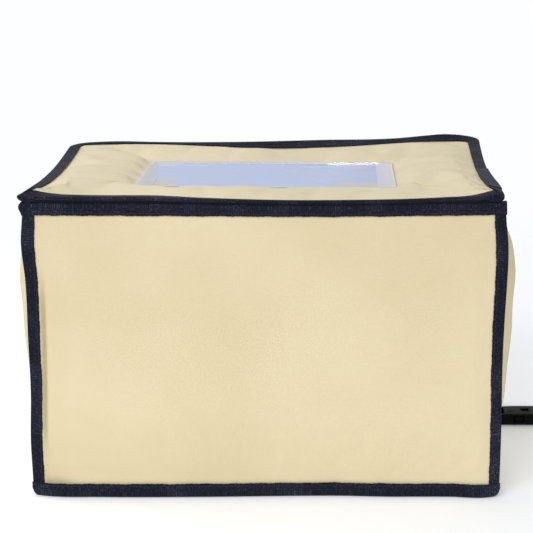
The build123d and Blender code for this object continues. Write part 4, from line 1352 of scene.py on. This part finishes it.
def thumb_ribs(start, count, reach, taper, low, high):
    """Raised ribs across a buckle half for the thumb, each shorter than the last by taper at both ends."""
    ribs = []
    for k in range(count):
        x, half = start + 2.2 * k, reach - taper * k
        rib = block("part", x, x + 1.1, STRAP_Y - half, STRAP_Y + half, low, high)
        bevel(rib, None, 0.3, 2)
        ribs.append(rib)
    return ribs


def soften(piece):
    """Take the sharpness off every hard edge."""
    modify(piece, "BEVEL", width=0.25 * MM, segments=2, limit_method="ANGLE", angle_limit=math.radians(40))


def make_socket():
    """Buckle socket: slot and bar at the strap, side windows, and a mouth for the prongs."""
    low, high = BUCKLE_LOW, BUCKLE_HIGH
    body = shell("buckle_socket_shell", low, high, -1)
    slot_end = low[0] + 2 * BAR + SLOT
    mouth = block("tool", slot_end + 2, high[0] + 1, STRAP_Y - 15, STRAP_Y + 15, low[2] + 2, high[2] - 2)
    window = block("tool", CATCH, CATCH + CATCH_LONG, low[1] - 1, high[1] + 1, low[2] + 2, high[2] - 2)
    bevel(window, lambda middle, way: abs(way.y) > 0.9, 1.6, 4)
    slot = block("tool", low[0] - 1, slot_end, STRAP_Y - 13, STRAP_Y + 13, low[2] - 1, high[2] + 1)
    cut(body, mouth, window, slot)
    thumb = block("tool", high[0] - 9, high[0] + 1, STRAP_Y - 5, STRAP_Y + 5, high[2] - 2.5, high[2] + 1)
    bevel(thumb, lambda middle, way: abs(way.z) > 0.9, 3, 6)
    cut(body, thumb)
    ribs = thumb_ribs(slot_end + 3, 4, 9, 1, high[2] - 0.5, high[2] + 0.25)
    bar, *cheeks = bar_and_cheeks(low[0] + BAR, low[0], low[0] + 6)
    soften(body)
    dress(join("buckle_socket_shell", body, bar, *ribs, *cheeks), "buckle", "back_and_base",
          ["buckle_socket"], smooth=30)


def make_plug():
    """Buckle plug: slot and bar, a middle tongue, and pockets for the prongs' roots."""
    low, high = PLUG_LOW.copy(), PLUG_HIGH
    tongue_end = low[0]
    low[0] = high[0] - 27
    body = shell("buckle_plug_body", low, high, 1)
    slot = block("tool", high[0] - 2 * BAR - SLOT, high[0] + 1, STRAP_Y - 13, STRAP_Y + 13, low[2] - 1,
                 high[2] + 1)
    cut(body, slot)
    tools = []
    root_x = corners("buckle_prong_rear")[1][0] - 2.4
    for y in (STRAP_Y - PRONG_Y, STRAP_Y + PRONG_Y):
        tools.append(rod("tool", (root_x, y, BUCKLE_Z), 2.55, 5.3, "Z", 32))
        tools.append(block("tool", low[0] - 1, root_x, y - 2.8, y + 2.8, BUCKLE_Z - 2.65, BUCKLE_Z + 2.65))
    cut(body, *tools)
    soften(body)
    tongue = block("part", tongue_end, low[0] + 1, STRAP_Y - 2.5, STRAP_Y + 2.5, BUCKLE_Z - 2.5,
                   BUCKLE_Z + 2.5)
    bevel(tongue, lambda middle, way: abs(way.x) < 0.1 and middle.x < tongue_end + 1, 0.9, 3)
    bar, *cheeks = bar_and_cheeks(high[0] - BAR, high[0] - 6, high[0])
    ribs = thumb_ribs(low[0] + 5.5, 3, 8, 0, high[2] - 0.6, high[2] + 0.15)
    dress(join("buckle_plug_body", body, tongue, bar, *ribs, *cheeks), "buckle", "plug",
          ["buckle_plug"], smooth=30)


def make_prong(name, way):
    """One springy prong: a root, a slim arm and a serrated head in the socket's window."""
    low, high = corners(name)
    y = STRAP_Y + way * PRONG_Y
    root_x = high[0] - 2.4
    arm = block(f"{name}_arm", low[0], root_x, y - 1.9, y + 1.9, BUCKLE_Z - 2.4, BUCKLE_Z + 2.4)
    with Shaping(arm) as edit:
        edit.take()
        bpy.ops.mesh.subdivide(number_cuts=7)

    def form(x, yy, z):
        along = (x - low[0]) / (root_x - low[0])
        slim = 1 - 0.30 * np.exp(-((along - 0.72) / 0.16) ** 2)
        tip = 1 - 0.35 * (1 - blendover(along, 0.0, 0.22))
        return x, y + (yy - y) * slim * tip, z
    mould(arm, form)
    head_x = CATCH + CATCH_LONG / 2
    head = block("part", head_x - 4.4, head_x + 4.4, *sorted((y, STRAP_Y + way * 16.8)), BUCKLE_Z - 2.4,
                 BUCKLE_Z + 2.4)
    bevel(head, lambda middle, edge: abs(edge.z) > 0.9 and way * (middle.y - y) > 1, 1.3, 4)
    grips = []
    for x in (head_x - 2.0, head_x, head_x + 2.0):
        grip = block("part", x - 0.4, x + 0.4, *sorted((STRAP_Y + way * 16.2, STRAP_Y + way * 17.0)),
                     BUCKLE_Z - 2.0, BUCKLE_Z + 2.0)
        bevel(grip, None, 0.15, 1)
        grips.append(grip)
    root = rod("part", (root_x, y, BUCKLE_Z), 2.35, 4.9, "Z", 32)
    piece = join(f"{name}_arm", arm, head, root, *grips)
    dress(piece, "buckle", name.replace("buckle_", ""), [name], smooth=30)


def make_gland():
    """Rubber gland in the back wall: a profile of rings (radius, y), with a lip on both faces."""
    low, high = corners("cord_gland")
    rings = ((4.1, high[1] - 0.4), (4.8, high[1]), (7.0, high[1] - 0.1), (8.6, high[1] - 0.5),
             (9.0, high[1] - 1.2), (8.8, END_OUT + 0.05), (GLAND_NECK, END_OUT), (GLAND_NECK, END_IN),
             (8.8, END_IN), (9.0, low[1] + 1.2), (8.6, low[1] + 0.5), (7.0, low[1] + 0.1), (4.8, low[1]),
             (4.1, low[1] + 0.4))
    bpy.ops.object.select_all(action="DESELECT")
    bpy.ops.mesh.primitive_circle_add(vertices=56, radius=rings[0][0] * MM, fill_type="NOTHING",
                                      location=(GLAND[0] * MM, rings[0][1] * MM, GLAND[2] * MM),
                                      rotation=(math.pi / 2, 0, 0))
    piece = placed("gland_ring")
    with Shaping(piece, "EDGE") as edit:
        edit.take()
        for (r0, y0), (r1, y1) in zip(rings, rings[1:]):
            bpy.ops.mesh.extrude_edges_move(TRANSFORM_OT_translate={"value": (0, (y1 - y0) * MM, 0)})
            scale_taken((r1 / r0, 1, r1 / r0), (GLAND[0], y1, GLAND[2]))
        bpy.ops.mesh.select_mode(type="EDGE")
        edit.take(lambda middle, way: np.hypot(middle.x - GLAND[0], middle.z - GLAND[2]) < 4.2)
        bpy.ops.mesh.bridge_edge_loops()
        bpy.ops.mesh.select_all(action="SELECT")
        bpy.ops.mesh.normals_make_consistent(inside=False)
    dress(piece, "rubber", "back_and_base", ["cord_gland"], smooth=50)


def finish_inner_parts():
    """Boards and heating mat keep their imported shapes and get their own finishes."""
    for node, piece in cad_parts.items():
        if node.endswith("_board") and node != "front_board" or node == "heating_mat":
            for entry in piece.material_slots:
                entry.material = FINISHES["heating_mat" if node == "heating_mat" else "board"]


# ---- stage ----

def make_camera(scene):
    """Camera in front of the box, a little above it."""
    camera = bpy.data.objects.new("camera", bpy.data.cameras.new("camera"))
    scene.collection.objects.link(camera)
    scene.camera = camera
    camera.data.sensor_width = 36
    camera.data.lens = 123.06
    camera.data.clip_end = 50
    pan, tilt, roll = (math.radians(angle) for angle in (2.39, 90 - 11.6, -0.60))
    camera.matrix_world = (Matrix.Translation((0.072, -1.795, 0.554)) @ Matrix.Rotation(pan, 4, "Z")
                           @ Matrix.Rotation(tilt, 4, "X") @ Matrix.Rotation(roll, 4, "Z"))


def make_lights(scene):
    """Soft lights: name, place, where it points, width, height and power of each."""
    for name, place, look, width, height, power in (
            ("key", (-0.85, -2.25, 2.1), (0, 0, 0.15), 1.5, 1.2, 36),
            ("fill", (1.7, -2.1, 1.0), (0, 0, 0.15), 1.6, 1.4, 7),
            ("top", (-1.5, 0.7, 1.6), (0, 0, 0.28), 1.0, 0.8, 14),
            ("glint", (0.14, 2.6, 0.98), (0.05, 0, 0.28), 0.16, 0.08, 1.0)):
        lamp = bpy.data.lights.new(name, "AREA")
        lamp.shape = "RECTANGLE"
        lamp.size, lamp.size_y, lamp.energy = width, height, power
        light = bpy.data.objects.new(name, lamp)
        scene.collection.objects.link(light)
        light.location = place
        light.rotation_euler = (Vector(look) - Vector(place)).to_track_quat("-Z", "Y").to_euler()


def make_surround(scene):
    """Pale surroundings, which light the box at a little over half of the strength the camera sees."""
    world = bpy.data.worlds.new("surround")
    world.use_nodes = True
    sky = world.node_tree.nodes["Background"].inputs
    seen = world.node_tree.nodes.new("ShaderNodeLightPath").outputs["Is Camera Ray"]
    level = world.node_tree.nodes.new("ShaderNodeMix")
    level.inputs[2].default_value, level.inputs[3].default_value = 0.54, 1.0
    world.node_tree.links.new(seen, level.inputs[0])
    world.node_tree.links.new(level.outputs[0], sky["Strength"])
    sky["Color"].default_value = (0.98, 0.99, 1.0, 1)
    scene.world = world
    scene.view_settings.view_transform = "Standard"


def make_floor():
    """Plain floor that fades out into the surroundings."""
    bpy.ops.object.select_all(action="DESELECT")
    bpy.ops.mesh.primitive_plane_add(size=3.2, location=(0, 0, -0.0003))
    floor = placed("floor")
    f = Finish("floor")
    x, y = (f.node("ShaderNodeSeparateXYZ", (f.place(),), out=k) for k in (0, 1))
    away = (x * x + y * y) ** 0.5
    f.finish(Base_Color=f.mix(f.noise(2.0, 3) * 0.3, colours().floor, (0.90, 0.90, 0.92)), Roughness=0.75,
             Alpha=away.ease(1.5, 0.55), Emission_Color=(0.88, 0.93, 1.0), Emission_Strength=0.2)
    floor.data.materials.append(f.material)


def make_finishes():
    """Every material of the box."""
    tints = colours()
    make_canvas("canvas", tints.canvas, tints.canvas_shade)
    # The front's canvas carries painted shade in the groove beside its left tape.
    make_canvas("front_canvas", tints.canvas, tints.canvas_shade, painted_groove_shade=True)
    make_canvas("lid_canvas", tints.lid, tints.lid_shade)
    make_canvas("base_cloth", (0.70, 0.62, 0.43), (0.60, 0.52, 0.34))
    make_tape("tape", tints.tape, tints.tape_crest_highlight_and_wear)
    make_tape("tape_lap", (0.018, 0.021, 0.042), (0.085, 0.094, 0.150))
    make_lining()
    make_film()
    make_weld()
    make_webbing()
    make_mat()
    make_plain("buckle", tints.plastic, (0.008, 0.008, 0.010), 0.42, Specular_IOR_Level=0.07)
    make_plain("zip_nylon", (0.006, 0.007, 0.014), (0.02, 0.022, 0.036), 0.45, Specular_IOR_Level=0.25)
    make_plain("zip_metal", (0.035, 0.036, 0.045), (0.28, 0.28, 0.29), 0.32, Metallic=0.8)
    make_plain("rubber", (0.018, 0.018, 0.019), (0.045, 0.045, 0.045), 0.62)
    make_plain("board", (0.80, 0.80, 0.78), (0.66, 0.65, 0.61), 0.7, grain=90)


# ---- operators ----

class PROOFER_OT_finishes(Operator):
    """Make the finish of every material"""
    bl_idname = "proofer.finishes"
    bl_label = "Finishes"

    def execute(self, context):
        make_finishes()
        return {"FINISHED"}


class PROOFER_OT_stage(Operator):
    """Set the camera, the lights and the floor"""
    bl_idname = "proofer.stage"
    bl_label = "Stage"

    def execute(self, context):
        scene = context.scene
        make_camera(scene)
        make_lights(scene)
        make_surround(scene)
        make_floor()
        return {"FINISHED"}


class PROOFER_OT_end_panels(Operator):
    """Make the front and back panels"""
    bl_idname = "proofer.end_panels"
    bl_label = "Front and back panels"

    def execute(self, context):
        make_front()
        make_back()
        return {"FINISHED"}


class PROOFER_OT_side_panels(Operator):
    """Make the swollen right and left sides"""
    bl_idname = "proofer.side_panels"
    bl_label = "Side panels"

    def execute(self, context):
        make_side("right")
        make_side("left")
        return {"FINISHED"}


class PROOFER_OT_base(Operator):
    """Make the base and its quilted lining"""
    bl_idname = "proofer.base"
    bl_label = "Base"

    def execute(self, context):
        make_base()
        return {"FINISHED"}


class PROOFER_OT_lid_cloth(Operator):
    """Make the lid's padding and its lining"""
    bl_idname = "proofer.lid_cloth"
    bl_label = "Lid cloth"

    def execute(self, context):
        make_lid_cloth()
        return {"FINISHED"}


class PROOFER_OT_window(Operator):
    """Make the clear window and its welded margin"""
    bl_idname = "proofer.window"
    bl_label = "Window"

    def execute(self, context):
        make_window()
        return {"FINISHED"}


class PROOFER_OT_lid_tape(Operator):
    """Fold the edge tape round the lid"""
    bl_idname = "proofer.lid_tape"
    bl_label = "Lid tape"

    def execute(self, context):
        make_lid_tape()
        return {"FINISHED"}


class PROOFER_OT_wall_tapes(Operator):
    """Fold the edge tapes over the rim, the upright edges and the base"""
    bl_idname = "proofer.wall_tapes"
    bl_label = "Wall tapes"

    def execute(self, context):
        make_edge_tapes()
        return {"FINISHED"}


class PROOFER_OT_hinge(Operator):
    """Make the lid's cloth hinge"""
    bl_idname = "proofer.hinge"
    bl_label = "Hinge"

    def execute(self, context):
        make_hinge()
        return {"FINISHED"}


class PROOFER_OT_zip(Operator):
    """Make both halves of the zip"""
    bl_idname = "proofer.zip"
    bl_label = "Zip"

    def execute(self, context):
        make_zip()
        return {"FINISHED"}


class PROOFER_OT_slider(Operator):
    """Make the zip's slider and pull"""
    bl_idname = "proofer.slider"
    bl_label = "Slider and pull"

    def execute(self, context):
        make_slider()
        return {"FINISHED"}


class PROOFER_OT_strap(Operator):
    """Make both runs of the strap"""
    bl_idname = "proofer.strap"
    bl_label = "Strap"

    def execute(self, context):
        make_strap()
        return {"FINISHED"}


class PROOFER_OT_buckle(Operator):
    """Make the buckle's socket, plug and prongs"""
    bl_idname = "proofer.buckle"
    bl_label = "Buckle"

    def execute(self, context):
        make_socket()
        make_plug()
        make_prong("buckle_prong_rear", 1)
        make_prong("buckle_prong_front", -1)
        return {"FINISHED"}


class PROOFER_OT_gland(Operator):
    """Make the rubber gland in the back panel"""
    bl_idname = "proofer.gland"
    bl_label = "Gland"

    def execute(self, context):
        make_gland()
        return {"FINISHED"}


class PROOFER_OT_inner_parts(Operator):
    """Finish the boards and the heating mat"""
    bl_idname = "proofer.inner_parts"
    bl_label = "Inner parts"

    def execute(self, context):
        finish_inner_parts()
        return {"FINISHED"}


OPERATORS = (PROOFER_OT_finishes, PROOFER_OT_stage, PROOFER_OT_end_panels, PROOFER_OT_side_panels,
             PROOFER_OT_base, PROOFER_OT_lid_cloth, PROOFER_OT_window, PROOFER_OT_lid_tape,
             PROOFER_OT_wall_tapes, PROOFER_OT_hinge, PROOFER_OT_zip, PROOFER_OT_slider, PROOFER_OT_strap,
             PROOFER_OT_buckle, PROOFER_OT_gland, PROOFER_OT_inner_parts)


class PROOFER_PT_panel(Panel):
    """Sizes, colours and steps of the proofer"""
    bl_idname = "PROOFER_PT_panel"
    bl_label = "Dough Proofer"
    bl_space_type = "VIEW_3D"
    bl_region_type = "UI"
    bl_category = "Proofer"

    def draw(self, context):
        for group in (context.scene.proofer_sizes, context.scene.proofer_colours):
            box = self.layout.box()
            for name in group.__annotations__:
                box.prop(group, name)
        for step in OPERATORS:
            self.layout.operator(step.bl_idname)


CLASSES = (ProoferSizes, ProoferColours, *OPERATORS, PROOFER_PT_panel)


def register():
    for item in CLASSES:
        bpy.utils.register_class(item)
    bpy.types.Scene.proofer_sizes = PointerProperty(type=ProoferSizes)
    bpy.types.Scene.proofer_colours = PointerProperty(type=ProoferColours)


def unregister():
    del bpy.types.Scene.proofer_colours
    del bpy.types.Scene.proofer_sizes
    for item in reversed(CLASSES):
        bpy.utils.unregister_class(item)


def main():
    """Make the whole box step by step."""
    register()
    for step in OPERATORS:
        group, name = step.bl_idname.split(".")
        getattr(getattr(bpy.ops, group), name)()


if __name__ == "__main__":
    main()
